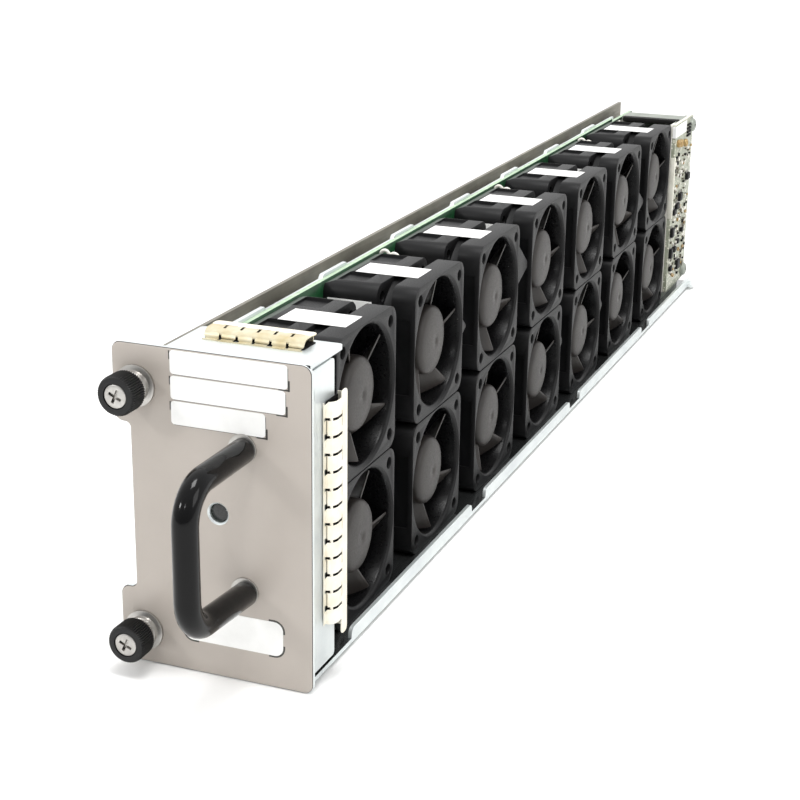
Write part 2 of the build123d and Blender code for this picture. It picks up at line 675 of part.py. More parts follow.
def fan_labels():
    """A label on top of each upper fan, and one on the front side of every second."""
    labels = []
    for column, y in enumerate(COLUMN_Y):
        middle = y + FAN_LABEL_SHIFT
        x = (FAN_LABEL_X - FAN_LABEL_L / 2, FAN_LABEL_X + FAN_LABEL_L / 2)
        side = (middle - FAN_LABEL_W / 2, middle + FAN_LABEL_W / 2)
        labels.append(block(x, side, (FAN_TOP_Z, FAN_TOP_Z + LABEL_T)))
        if column % 2:
            front = y - FAN_SIZE / 2
            x = (SIDE_LABEL_X - SIDE_LABEL_L / 2, SIDE_LABEL_X + SIDE_LABEL_L / 2)
            top = FAN_TOP_Z - SIDE_LABEL_DROP
            labels.append(block(x, (front - LABEL_T, front), (top - SIDE_LABEL_H, top)))
    return labels


def rear_bracket():
    """Folded bracket that closes the rear end and carries the rear board."""
    side_x = (BRACKET_SIDE_X, BRACKET_SIDE_X + SHEET_T)
    inner_x = (BRACKET_LEFT, BRACKET_SIDE_X)
    cross_y = (BRACKET_BACK, BRACKET_BACK + SHEET_T)
    height = (SHEET_T, BRACKET_TOP)
    bracket = block(side_x, (BRACKET_FRONT, REAR_BOARD_REAR), height)
    bracket += block(inner_x, cross_y, height)
    flange_y = (BRACKET_BACK - BRACKET_FLANGE, BRACKET_BACK)
    bracket += block(inner_x, flange_y, (BRACKET_TOP - SHEET_T, BRACKET_TOP))
    bracket += block(inner_x, flange_y, (SHEET_T, 2 * SHEET_T))
    post_x = (BRACKET_LEFT - SHEET_T, BRACKET_LEFT)
    bracket += block(post_x, (BRACKET_BACK - BRACKET_POST, BRACKET_BACK + SHEET_T), height)
    mouth = block(plug_x_span(), cross_y, (PLUG_Z - PLUG_H / 2, PLUG_Z + PLUG_H / 2))
    for z in rear_screw_heights():
        bracket -= prism_x(across(REAR_SCREW_D + 2 * SCREW_FIT), side_x, rear_screw_y(), z)
    return bracket - mouth


def plug_x_span():
    """Rear connector's limits along X, beside the bracket's side."""
    middle = (BRACKET_LEFT + BRACKET_SIDE_X) / 2
    return (middle - PLUG_W / 2, middle + PLUG_W / 2)


def rear_connector():
    """Plug-in connector housing standing in the bracket's opening."""
    y = (BRACKET_BACK - PLUG_WALL, BRACKET_BACK + PLUG_L)
    z = (PLUG_Z - PLUG_H / 2, PLUG_Z + PLUG_H / 2)
    x = plug_x_span()
    shell = block(x, y, z)
    inner_x = (x[0] + PLUG_WALL, x[1] - PLUG_WALL)
    inner_z = (z[0] + PLUG_WALL, z[1] - PLUG_WALL)
    shell -= block(inner_x, (y[0] + 2 * PLUG_WALL, y[1]), inner_z)
    ear = (z[0] - 2 * PLUG_WALL, z[1] + 2 * PLUG_WALL)
    return shell + block(x, (y[0], BRACKET_BACK), ear)


def rear_screw_heights():
    """Heights of the rear board's two screws."""
    return (REAR_BOARD_LOW_Z + REAR_SCREW_INSET, REAR_BOARD_TOP - REAR_SCREW_INSET)


def rear_screw_y():
    """Where the rear board's screws stand along Y."""
    return REAR_BOARD_REAR - REAR_SCREW_INSET


def rear_board():
    """Control board at the rear end, facing the inlet side."""
    x = (REAR_BOARD_X, REAR_BOARD_X + BOARD_T)
    board = block(x, (BRACKET_FRONT, REAR_BOARD_REAR), (REAR_BOARD_LOW_Z, REAR_BOARD_TOP))
    for z in rear_screw_heights():
        board -= prism_x(across(REAR_SCREW_D + 2 * SCREW_FIT), x, rear_screw_y(), z)
    return board


def rear_standoffs():
    """Spacers that hold the rear board off its bracket."""
    posts = []
    x = (BRACKET_SIDE_X + SHEET_T, REAR_BOARD_X)
    for z in rear_screw_heights():
        post = prism_x(STANDOFF_D, x, rear_screw_y(), z)
        posts.append(post - prism_x(across(REAR_SCREW_D + 2 * SCREW_FIT), x, rear_screw_y(), z))
    front_y = (BRACKET_FRONT, BRACKET_FRONT + STANDOFF_D)
    posts.append(block(x, front_y, (REAR_BOARD_LOW_Z, REAR_BOARD_TOP)))
    return posts


def rear_board_screws():
    """Pan-head screws with washers that hold the rear board."""
    screws = []
    face = REAR_BOARD_X + BOARD_T
    for z in rear_screw_heights():
        screw = prism_x(REAR_SCREW_D, (BRACKET_SIDE_X, face), rear_screw_y(), z)
        screw += prism_x(REAR_WASHER_D, (face, face + REAR_WASHER_T), rear_screw_y(), z)
        head = (face + REAR_WASHER_T, face + REAR_WASHER_T + REAR_SCREW_HEAD_H)
        screws.append(screw + prism_x(REAR_SCREW_HEAD_D, head, rear_screw_y(), z))
    return screws


def board_parts(count, size, start, step):
    """Equal components in a line; starts and steps are measured along Y and Z."""
    face = REAR_BOARD_X + BOARD_T
    parts = []
    for i in range(count):
        low_y = BRACKET_FRONT + start[0] + i * step[0]
        low_z = REAR_BOARD_LOW_Z + start[1] + i * step[1]
        parts.append(block((face, face + size[0]), (low_y, low_y + size[1]), (low_z, low_z + size[2])))
    return parts


def rear_board_parts():
    """Chips, coils and small parts on the rear board."""
    parts = board_parts(CHIP_COUNT, CHIP_SIZE, CHIP_START, CHIP_STEP)
    parts += board_parts(COIL_COUNT, COIL_SIZE, COIL_START, COIL_STEP)
    parts += board_parts(SMALL_COUNT, SMALL_SIZE, SMALL_START, SMALL_STEP)
    return parts + board_parts(TOP_PART_COUNT, TOP_PART_SIZE, TOP_PART_START, TOP_PART_STEP)


os.makedirs("parts", exist_ok=True)
save_fans()
save("tray_base", tray_base())
save("fan_board", fan_board())
save("inner_panel", inner_panel())
save("panel_spacers", *panel_spacers())
save("board_connectors", *board_connectors())
save("fan_leads", *fan_leads())
save("front_plate", front_plate())
save("handle", handle())
save("handle_washers", *handle_washers())
save("handle_screws", *handle_screws())
save_captive_screws()
save("status_lens", status_lens())
save("top_gasket", top_gasket())
save("side_gasket", side_gasket())
save("plate_labels", *plate_labels())
save("fan_labels", *fan_labels())
save("rear_bracket", rear_bracket())
save("rear_connector", rear_connector())
save("rear_board", rear_board())
save("rear_standoffs", *rear_standoffs())
save("rear_board_screws", *rear_board_screws())
save("rear_board_parts", *rear_board_parts())
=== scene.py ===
"""Switch fan tray, dressed for the eye over its solid model.

Sizes are in millimetres and places are in the model's own frame: +X is the side where the fans draw
air in, +Y runs from the front plate to the rear, and +Z is up.
"""

import json
import logging
import math
import random
from contextlib import contextmanager
from dataclasses import dataclass
from enum import Enum
from typing import Callable, Iterator, Sequence

import bmesh
import bpy
from mathutils import Matrix, Vector

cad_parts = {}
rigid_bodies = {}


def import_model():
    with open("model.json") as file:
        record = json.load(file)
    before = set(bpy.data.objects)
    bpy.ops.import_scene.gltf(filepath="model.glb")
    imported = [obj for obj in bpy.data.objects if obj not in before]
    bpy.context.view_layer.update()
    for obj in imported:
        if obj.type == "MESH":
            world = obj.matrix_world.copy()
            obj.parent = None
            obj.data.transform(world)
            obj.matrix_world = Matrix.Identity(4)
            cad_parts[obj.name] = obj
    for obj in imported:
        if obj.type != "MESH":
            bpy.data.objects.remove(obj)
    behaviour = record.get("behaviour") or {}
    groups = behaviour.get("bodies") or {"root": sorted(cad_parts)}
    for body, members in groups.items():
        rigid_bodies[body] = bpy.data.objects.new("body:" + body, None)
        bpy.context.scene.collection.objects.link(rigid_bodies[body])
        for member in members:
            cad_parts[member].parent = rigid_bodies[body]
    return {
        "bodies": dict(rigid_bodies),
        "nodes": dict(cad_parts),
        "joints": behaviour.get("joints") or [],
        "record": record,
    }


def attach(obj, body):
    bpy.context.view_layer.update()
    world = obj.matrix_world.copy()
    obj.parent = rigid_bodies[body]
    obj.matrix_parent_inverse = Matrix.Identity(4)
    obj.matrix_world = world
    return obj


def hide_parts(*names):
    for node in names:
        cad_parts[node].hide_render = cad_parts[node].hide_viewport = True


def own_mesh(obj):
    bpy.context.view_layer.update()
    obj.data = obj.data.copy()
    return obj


# One millimetre in metres, and the places that more than one sub-assembly keeps to.
MM = 0.001
FACE_Y = -210.8
CAPTIVE_X = -27.0
CAPTIVE_Z = {"lower": 7.8, "upper": 73.3}
COLUMNS = (-162.9, -108.6, -54.3, 0.0, 54.3, 108.6, 162.9)
ROWS = {"lower": 21.2, "upper": 61.6}

LOG = logging.getLogger("fan_tray")
Thing = bpy.types.Object
Span = tuple[float, float]
Point = tuple[float, float, float]
Test = Callable[[Vector, Vector], bool]


class Axis(Enum):
    """The way that a round piece lies: along X, or out of the front plate."""

    X = (0.0, math.pi / 2, 0.0)
    FRONT = (math.pi / 2, 0.0, 0.0)


class Grain(Enum):
    """How a surface's fine pattern is drawn out."""

    EVEN = (1.0, 1.0, 1.0)
    ALONG_Y = (1.0, 0.05, 1.0)


# Tools that work as a maker's hands do.


def solo(thing: Thing) -> None:
    """Make one object the only selected and active one.

    Args:
        thing: The object to work on.
    """
    bpy.ops.object.select_all(action="DESELECT")
    thing.select_set(True)
    bpy.context.view_layer.objects.active = thing


def settle(thing: Thing) -> Thing:
    """Put an object's place, turn and scale into its mesh.

    Args:
        thing: The object to settle.

    Returns:
        The same object.
    """
    solo(thing)
    bpy.ops.object.transform_apply(location=True, rotation=True, scale=True)
    return thing


def named(name: str) -> Thing:
    """Name the object that was just added, and settle it.

    Args:
        name: The new name.

    Returns:
        The object.
    """
    thing = bpy.context.view_layer.objects.active
    thing.name = name
    thing.data.name = name
    return settle(thing)


@contextmanager
def editing(thing: Thing, kind: str = "FACE") -> Iterator[None]:
    """Open an object in edit mode with nothing selected.

    Args:
        thing: The object to edit.
        kind: VERT, EDGE or FACE.
    """
    solo(thing)
    bpy.ops.object.mode_set(mode="EDIT")
    bpy.ops.mesh.select_mode(type=kind)
    bpy.ops.mesh.select_all(action="DESELECT")
    try:
        yield
    finally:
        bpy.ops.object.mode_set(mode="OBJECT")


def extrude(x: float, y: float, z: float) -> None:
    """Extrude what is picked in edit mode, moved by so many millimetres."""
    bpy.ops.mesh.extrude_region_move(TRANSFORM_OT_translate={"value": (x * MM, y * MM, z * MM)})


def close_up(weld: float = 0.001) -> None:
    """Weld a tube's seams in edit mode, fill its ends and turn its faces outward.

    Args:
        weld: Points nearer than this are welded.
    """
    bpy.ops.mesh.select_all(action="SELECT")
    bpy.ops.mesh.remove_doubles(threshold=weld * MM)
    bpy.ops.mesh.fill_holes(sides=0)
    bpy.ops.mesh.normals_make_consistent(inside=False)


def along(axis: str) -> Test:
    """Make the test for edges that run along an axis, or faces that look along it.

    Args:
        axis: The axis: x, y or z.

    Returns:
        The test.
    """
    return lambda at, way: abs(getattr(way, axis)) > 0.9


def pick_faces(thing: Thing, test: Test) -> None:
    """Select faces in edit mode.

    Args:
        thing: The object in edit mode.
        test: Takes a face's middle in millimetres and its normal.
    """
    mesh = bmesh.from_edit_mesh(thing.data)
    for face in mesh.faces:
        face.select_set(test(face.calc_center_median() / MM, face.normal))
    mesh.select_flush_mode()
    bmesh.update_edit_mesh(thing.data)


def pick_edges(thing: Thing, test: Test) -> None:
    """Select edges in edit mode.

    Args:
        thing: The object in edit mode.
        test: Takes an edge's middle in millimetres and its direction.
    """
    mesh = bmesh.from_edit_mesh(thing.data)
    for edge in mesh.edges:
        first, second = (vert.co for vert in edge.verts)
        edge.select_set(test((first + second) / 2 / MM, (second - first).normalized()))
    bmesh.update_edit_mesh(thing.data)


def box(name: str, x: Span, y: Span, z: Span, turn: Point = (0, 0, 0)) -> Thing:
    """Add a block between two limits on each axis.

    Args:
        name: The block's name.
        x: Limits along X.
        y: Limits along Y.
        z: Limits along Z.
        turn: Turns about the three axes through its own middle, in degrees.

    Returns:
        The block.
    """
    middle = [(low + high) / 2 * MM for low, high in (x, y, z)]
    size = [(high - low) * MM for low, high in (x, y, z)]
    turns = [math.radians(v) for v in turn]
    bpy.ops.mesh.primitive_cube_add(size=1.0, location=middle, rotation=turns, scale=size)
    return named(name)


def rod(name: str, axis: Axis, diameter: float, length: float, middle: Point, sides: int = 48) -> Thing:
    """Add a plain cylinder.

    Args:
        name: The cylinder's name.
        axis: The axis it lies along.
        diameter: Its diameter.
        length: Its length.
        middle: Where its middle is.
        sides: How many sides it has.

    Returns:
        The cylinder.
    """
    bpy.ops.mesh.primitive_cylinder_add(
        vertices=sides, radius=diameter / 2 * MM, depth=length * MM,
        location=Vector(middle) * MM, rotation=axis.value)
    return named(name)


def turned(name: str, axis: Axis, origin: Point, profile: Sequence[Span], sides: int = 64) -> Thing:
    """Turn a piece as on a lathe, by extruding and resizing a ring.

    Args:
        name: The piece's name.
        axis: The axis that heights run along, away from the origin.
        origin: Where height 0 is.
        profile: Pairs of height and radius; a radius of 0 closes an end.
        sides: How many sides the ring has.

    Returns:
        The piece.
    """
    height, radius = profile[0]
    bpy.ops.mesh.primitive_circle_add(vertices=sides, radius=radius * MM, location=(0, 0, height * MM))
    thing = named(name)
    with editing(thing, "EDGE"):
        bpy.ops.mesh.select_all(action="SELECT")
        for next_height, next_radius in profile[1:]:
            extrude(0, 0, next_height - height)
            if next_radius == 0:
                bpy.ops.mesh.merge(type="CENTER")
                break
            ratio = next_radius / radius
            bpy.ops.transform.resize(value=(ratio, ratio, 1), center_override=(0, 0, 0))
            height, radius = next_height, next_radius
        close_up(0.002)
    thing.rotation_euler = axis.value
    thing.location = Vector(origin) * MM
    return settle(thing)


def joined(name: str, things: Sequence[Thing]) -> Thing:
    """Join objects into the first of them.

    Args:
        name: The joined object's name.
        things: The objects.

    Returns:
        The joined object.
    """
    solo(things[0])
    for thing in things[1:]:
        thing.select_set(True)
    if len(things) > 1:
        bpy.ops.object.join()
    return named(name)


def twin(thing: Thing, name: str, shift: Point = (0, 0, 0), turn: float = 0.0) -> Thing:
    """Copy a piece with a mesh of its own, turned about X and then moved.

    Args:
        thing: The piece to copy.
        name: The copy's name.
        shift: How far the copy moves.
        turn: How far it turns about X, in degrees.

    Returns:
        The copy.
    """
    solo(thing)
    bpy.ops.object.duplicate(linked=False)
    copy = bpy.context.view_layer.objects.active
    copy.rotation_euler = (math.radians(turn), 0.0, 0.0)
    copy.location = Vector(shift) * MM
    return named(name)


def modify(thing: Thing, kind: str, **settings: object) -> None:
    """Add a modifier and apply it.

    Args:
        thing: The object.
        kind: The modifier's type.
        settings: Its settings.
    """
    modifier = thing.modifiers.new(kind.title(), kind)
    for key, value in settings.items():
        setattr(modifier, key, value)
    solo(thing)
    bpy.ops.object.modifier_apply(modifier=modifier.name)


def shade(thing: Thing, angle: float) -> Thing:
    """Shade an object smooth where its faces meet at less than an angle.

    Args:
        thing: The object.
        angle: The angle, in degrees.

    Returns:
        The same object.
    """
    solo(thing)
    bpy.ops.object.shade_smooth_by_angle(angle=math.radians(angle))
    return thing


def combine(thing: Thing, tools: Sequence[Thing], operation: str = "DIFFERENCE") -> None:
    """Cut tools out of an object, or fuse them to it, and clear the tools away.

    Args:
        thing: The object to change.
        tools: The cutters, or the pieces to fuse.
        operation: DIFFERENCE, UNION or INTERSECT.
    """
    tool = joined("tool", tools)
    modify(thing, "BOOLEAN", operation=operation, solver="EXACT", use_self=len(tools) > 1, object=tool)
    bpy.data.objects.remove(tool, do_unlink=True)


def round_corners(thing: Thing, test: Test, radius: float, segments: int = 4) -> None:
    """Round chosen edges.

    Args:
        thing: The object.
        test: Takes an edge's middle in millimetres and its direction.
        radius: The rounding's radius.
        segments: How many faces make the rounding.
    """
    with editing(thing, "EDGE"):
        pick_edges(thing, test)
        bpy.ops.mesh.bevel(offset=radius * MM, segments=segments, affect="EDGES")


def ease(thing: Thing, width: float, segments: int = 2, angle: float = 35.0) -> Thing:
    """Break the sharp edges of a finished shape and shade it.

    Args:
        thing: The object.
        width: How wide the broken edge is.
        segments: How many faces it has.
        angle: Edges sharper than this are broken, in degrees.

    Returns:
        The same object.
    """
    limit = math.radians(angle)
    modify(thing, "BEVEL", width=width * MM, segments=segments, limit_method="ANGLE", angle_limit=limit,
           use_clamp_overlap=True, miter_outer="MITER_ARC")
    return shade(thing, 40)


def dress(thing: Thing, material: bpy.types.Material) -> Thing:
    """Give a whole piece one material.

    Args:
        thing: The piece.
        material: Its material.

    Returns:
        The same piece.
    """
    thing.data.materials.clear()
    thing.data.materials.append(material)
    return thing


def dress_faces(thing: Thing, material: bpy.types.Material, test: Test) -> None:
    """Give some faces of a piece a further material.

    Args:
        thing: The piece, already dressed.
        material: The further material.
        test: Takes a face's middle in millimetres and its normal.
    """
    thing.data.materials.append(material)
    last = len(thing.data.materials) - 1
    for face in thing.data.polygons:
        if test(face.center / MM, face.normal):
            face.material_index = last


def seat(thing: Thing, body: str, slot: str, *nodes: str) -> Thing:
    """Let a piece ride on a body and stand for solid nodes.

    Args:
        thing: The piece.
        body: The body it moves with.
        slot: The record's material slot; not used.
        nodes: The solid nodes that it stands for.

    Returns:
        The same piece.
    """
    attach(thing, body)
    if nodes:
        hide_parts(*nodes)
    LOG.info("%s: %d faces on %s", thing.name, len(thing.data.polygons), body)
    return thing


def fit(thing: Thing, material: bpy.types.Material, slot: str, *nodes: str) -> Thing:
    """Dress a piece that stays with the tray, and seat it.

    Args:
        thing: The piece.
        material: Its material.
        slot: The record's material slot.
        nodes: The solid nodes that it stands for.

    Returns:
        The same piece.
    """
    return seat(dress(thing, material), "tray", slot, *nodes)


# What each surface is made of.


def linear(colour: str) -> tuple[float, float, float, float]:
    """Turn an sRGB hex colour into the linear one that shaders take.

    Args:
        colour: Six hex digits after a hash sign.

    Returns:
        Linear red, green and blue, and full opacity.
    """
    parts = [int(colour[i:i + 2], 16) / 255 for i in (1, 3, 5)]
    red, green, blue = (v / 12.92 if v <= 0.04045 else ((v + 0.055) / 1.055) ** 2.4 for v in parts)
    return red, green, blue, 1.0


def add_node(tree: bpy.types.NodeTree, kind: str, settings: dict[str, object] | None = None,
             feeds: dict[str, bpy.types.NodeSocket] | None = None) -> bpy.types.Node:
    """Add one shader node.

    Args:
        tree: The material's node tree.
        kind: The node's type.
        settings: Values for the node's own properties or its input sockets.
        feeds: Sockets that feed its inputs.

    Returns:
        The node.
    """
    node = tree.nodes.new(kind)
    for key, value in (settings or {}).items():
        if key in node.inputs:
            node.inputs[key].default_value = value
        else:
            setattr(node, key, value)
    for key, source in (feeds or {}).items():
        tree.links.new(source, node.inputs[key])
    return node


@dataclass(frozen=True)
class Finish:
    """One real surface: its two tones, its gloss and its relief, with patterns in millimetres."""

    name: str
    colour: str
    shade: str
    roughness: float
    gloss_spread: float = 0.08
    metallic: float = 0.0
    cloud_mm: float = 12.0
    grain_mm: float = 0.4
    relief_mm: float = 0.01
    grain: Grain = Grain.EVEN
    coat: float = 0.0
    coat_roughness: float = 0.1
    ior: float = 1.5

    def tint(self, tree: bpy.types.NodeTree, place: bpy.types.NodeSocket) -> bpy.types.NodeSocket:
        """Lay the second tone over the first in soft clouds.

        Args:
            tree: The material's node tree.
            place: The piece's own coordinates.

        Returns:
            The colour socket.
        """
        cloud = add_node(tree, "ShaderNodeTexNoise", {"Scale": 1 / (self.cloud_mm * MM), "Detail": 5.0,
                                                      "Roughness": 0.6}, {"Vector": place})
        tone = add_node(tree, "ShaderNodeValToRGB", feeds={"Fac": cloud.outputs["Fac"]})
        tone.color_ramp.elements[0].position = 0.35
        tone.color_ramp.elements[0].color = linear(self.colour)
        tone.color_ramp.elements[1].position = 0.68
        tone.color_ramp.elements[1].color = linear(self.shade)
        return tone.outputs["Color"]

    def build(self) -> bpy.types.Material:
        """Make the material.

        Returns:
            The material.
        """
        material = bpy.data.materials.new(self.name)
        material.use_nodes = True
        tree = material.node_tree
        tree.nodes.clear()
        place = add_node(tree, "ShaderNodeTexCoord").outputs["Object"]
        drawn = add_node(tree, "ShaderNodeMapping", {"Scale": self.grain.value}, {"Vector": place})
        fine = add_node(tree, "ShaderNodeTexNoise", {"Scale": 1 / (self.grain_mm * MM), "Detail": 3.0},
                        {"Vector": drawn.outputs["Vector"]})
        gloss = add_node(tree, "ShaderNodeMapRange", {
            "From Min": 0.3, "From Max": 0.7, "To Min": max(0.02, self.roughness - self.gloss_spread),
            "To Max": min(1.0, self.roughness + self.gloss_spread)}, {"Value": fine.outputs["Fac"]})
        bump = add_node(tree, "ShaderNodeBump", {"Strength": 1.0, "Distance": self.relief_mm * MM},
                        {"Height": fine.outputs["Fac"]})
        shader = add_node(tree, "ShaderNodeBsdfPrincipled", {
            "Metallic": self.metallic, "Coat Weight": self.coat, "Coat Roughness": self.coat_roughness,
            "IOR": self.ior},
            {"Base Color": self.tint(tree, place), "Roughness": gloss.outputs["Result"],
             "Normal": bump.outputs["Normal"]})
        add_node(tree, "ShaderNodeOutputMaterial", feeds={"Surface": shader.outputs["BSDF"]})
        return material


@dataclass(frozen=True)
class Speckled(Finish):
    """A finish with small flecks of a third colour, such as a printed or populated board."""

    fleck: str = "#ffffff"
    fleck_mm: float = 1.2
    fleck_share: float = 0.2

    def tint(self, tree: bpy.types.NodeTree, place: bpy.types.NodeSocket) -> bpy.types.NodeSocket:
        """Lay flecks over the clouds.

        Args:
            tree: The material's node tree.
            place: The piece's own coordinates.

        Returns:
            The colour socket.
        """
        ground = super().tint(tree, place)
        cells = add_node(tree, "ShaderNodeTexVoronoi", {"Scale": 1 / (self.fleck_mm * MM)}, {"Vector": place})
        share = add_node(tree, "ShaderNodeMath", {"operation": "LESS_THAN"}, {0: cells.outputs["Distance"]})
        share.inputs[1].default_value = self.fleck_share
        mix = add_node(tree, "ShaderNodeMixRGB", {"Color2": linear(self.fleck)},
                       {"Fac": share.outputs[0], "Color1": ground})
        return mix.outputs["Color"]


class Palette:
    """Every finish on the tray, made once."""

    def __init__(self) -> None:
        """Make the materials."""
        # Satin paint over steel: an even warm grey with a soft sheen and a faint orange-peel skin.
        self.paint = Finish("satin_grey_paint", "#b3aba3", "#ada59d", 0.45, grain_mm=0.5, relief_mm=0.004,
                            coat=0.1, coat_roughness=0.35, cloud_mm=25).build()
        # Painted shade on the plate's edge bevels: a dark line round the face where the bevels turn away from
        # the light.
        self.edge_shade = Finish("painted_shade_edge", "#2c2825", "#3a3531", 0.5, grain_mm=0.4,
                                 relief_mm=0.004, cloud_mm=5).build()
        # Zinc-plated sheet: bright, barely blue, with faint rolling lines along the sheet.
        self.zinc = Finish("zinc_plated_sheet", "#e1e6e5", "#d2d8d9", 0.38, gloss_spread=0.04, metallic=0.65,
                           grain_mm=0.6, relief_mm=0.0015, grain=Grain.ALONG_Y, cloud_mm=18).build()
        # The same plating, older, on the rear bracket and the rear board's screws: grey with a green cast.
        self.aged_zinc = Finish("aged_zinc_bracket", "#a3a89f", "#8b9088", 0.5, metallic=0.55, grain_mm=0.5,
                                relief_mm=0.003, cloud_mm=6).build()
        # The same sheet's tall wall, seen on edge against the light: painted a darker grey for the shade it
        # stands in behind the panel.
        self.shaded_wall_zinc = Finish("zinc_wall_painted_shade", "#8a867a", "#77736a", 0.5, metallic=0.7, grain_mm=0.6,
                                relief_mm=0.004, grain=Grain.ALONG_Y, cloud_mm=14).build()
        # The floor's inner side, still smooth: it mirrors the dark fans that stand on it, and its darker
        # colour is painted shade under them.
        self.shaded_floor_zinc = Finish("smooth_zinc_floor_painted_shade", "#8f9292", "#7d8080", 0.2, gloss_spread=0.05,
                                 metallic=0.95, grain_mm=0.8, relief_mm=0.001, grain=Grain.ALONG_Y,
                                 cloud_mm=14).build()
        # Glass-filled plastic, moulded: near black with a dull skin that greys where light grazes it.
        self.housing = Finish("moulded_fan_plastic", "#101011", "#161617", 0.48, grain_mm=0.35,
                              relief_mm=0.004, cloud_mm=9, ior=1.31).build()
        # The bore's wall: the same plastic painted blacker for the shade inside the bore, and smoother, with
        # a soft spot of light low down.
        self.bore = Finish("smooth_fan_bore_painted_shade", "#060607", "#0b0b0c", 0.3, gloss_spread=0.05, grain_mm=0.8,
                           relief_mm=0.006, cloud_mm=7, ior=1.27).build()
        # The housing's rear slope, in painted light: a paler grey for the light on it, with a green cast for
        # the board's reflection beside it.
        self.slope = Finish("fan_slope_painted_light", "#4b554c", "#3c453e", 0.6, grain_mm=0.4, relief_mm=0.006,
                            cloud_mm=3).build()
        # The rotor's plastic: a shade browner and smoother.
        self.rotor = Finish("moulded_rotor_plastic", "#2b2826", "#322e2b", 0.45, gloss_spread=0.07,
                            grain_mm=0.5, relief_mm=0.004, cloud_mm=7, ior=1.42).build()
        # Vinyl dip over steel bar: deep black gloss with slow waves in it.
        self.dip = Finish("black_vinyl_dip", "#040405", "#070708", 0.12, gloss_spread=0.04, grain_mm=3.5,
                          relief_mm=0.06, cloud_mm=20, ior=1.29).build()
        # Nickel-plated steel, turned: bright with fine turning marks.
        self.nickel = Finish("turned_nickel_steel", "#bdbbb7", "#a9a6a2", 0.36, gloss_spread=0.04,
                             metallic=1.0, grain_mm=0.5, relief_mm=0.002, cloud_mm=3).build()
        # Moulded black knob: dull, its knurls catching small lights.
        self.knob = Finish("black_knurled_knob", "#0c0c0c", "#131313", 0.5, grain_mm=0.3,
                           relief_mm=0.01, cloud_mm=3, ior=1.4).build()
        # Beryllium copper under clear plate: pale gold, soft sheen.
        self.gasket = Finish("pale_gold_spring_strip", "#d6cfb6", "#c3b48c", 0.36, metallic=0.45,
                             grain_mm=0.6, relief_mm=0.002, cloud_mm=5).build()
        # The strip's flat backs and rail, and the whole side strip: painted highlight, nearly white where
        # they face the light.
        self.strip_highlight = Finish("spring_strip_painted_highlight", "#efebdf", "#e6dec9", 0.4, metallic=0.35, grain_mm=0.6,
                             relief_mm=0.002, cloud_mm=5).build()
        # Near-black painted shade, dull: a thin sheet under the fingers that shows through the slits, the
        # faces inside the cuts, and a strip on the rear bracket's edge.
        self.painted_shade = Finish("black_painted_shade", "#080706", "#0d0b0a", 0.7, grain_mm=0.4, relief_mm=0.01,
                           cloud_mm=3, ior=1.4).build()
        # Coated paper label: flat white.
        self.label = Finish("white_label_stock", "#f3f3f1", "#eaeae8", 0.55, grain_mm=0.3, relief_mm=0.002,
                            cloud_mm=8).build()
        # Screen ink: flat dark grey, also used for painted shadow lines under the plate labels.
        self.ink_and_shadow = Finish("dark_screen_ink_and_painted_shadow", "#3a3937", "#45443f", 0.6, grain_mm=0.3, relief_mm=0.002).build()
        # Glass-epoxy board under green mask: glossy green with copper showing darker beneath.
        self.mask = Finish("green_solder_mask", "#0f4422", "#0a2f18", 0.35, grain_mm=0.5, relief_mm=0.006,
                           cloud_mm=2.5).build()
        # The board's cut edge: pale, dry laminate.
        self.laminate = Finish("cut_board_edge", "#bccfb6", "#9fb99c", 0.7, grain_mm=0.3, relief_mm=0.01,
                               cloud_mm=3).build()
        # Rear board under pale mask: grey-cream ground with a green cast and bare, tinned pads.
        self.rear_mask = Speckled("pale_populated_board", "#a8ab9a", "#878c78", 0.4, grain_mm=0.5,
                                  relief_mm=0.02, cloud_mm=2.4, fleck="#dcd9ca", fleck_mm=1.3,
                                  fleck_share=0.3).build()
        # The rear board's cut edge: bleached, nearly white.
        self.bleached = Finish("bleached_board_edge", "#e4e2d6", "#d6d4c6", 0.7, grain_mm=0.3, relief_mm=0.01,
                               cloud_mm=3).build()
        # Nylon connector and wire insulation: milky white.
        self.nylon = Finish("milky_nylon", "#ece9e1", "#dedbd2", 0.4, grain_mm=0.5, relief_mm=0.004,
                            cloud_mm=5).build()
        # Component packages: flat black epoxy.
        self.package = Finish("black_epoxy_package", "#0c0c0d", "#161617", 0.6, grain_mm=0.3,
                              relief_mm=0.004, cloud_mm=2, ior=1.35).build()
        # Small ceramic parts: dull grey brown between the black packages and the pale board.
        self.ceramic = Finish("grey_ceramic_chips", "#75705f", "#57534a", 0.55, grain_mm=0.3, relief_mm=0.004,
                              cloud_mm=1.5).build()
        # Wound coils and capacitor ends: dull orange gold.
        self.amber = Finish("amber_coil", "#b79c68", "#94764a", 0.4, metallic=0.3, grain_mm=0.3,
                            relief_mm=0.01, cloud_mm=1.5).build()
        # Smoked light pipe: near black and glossy.
        self.lens = Finish("smoked_light_pipe", "#1c1d1d", "#252626", 0.12, gloss_spread=0.02, grain_mm=1.0,
                           relief_mm=0.002, cloud_mm=2).build()
        # Matt studio floor.
        self.floor = Finish("pale_studio_floor", "#f7f7f6", "#f5f5f4", 0.8, grain_mm=5.0, relief_mm=0.01,
                            cloud_mm=400).build()


# The tray's sub-assemblies, front to rear.


@dataclass
class SubAssembly:
    """A group of pieces that is made with one set of finishes."""

    palette: Palette


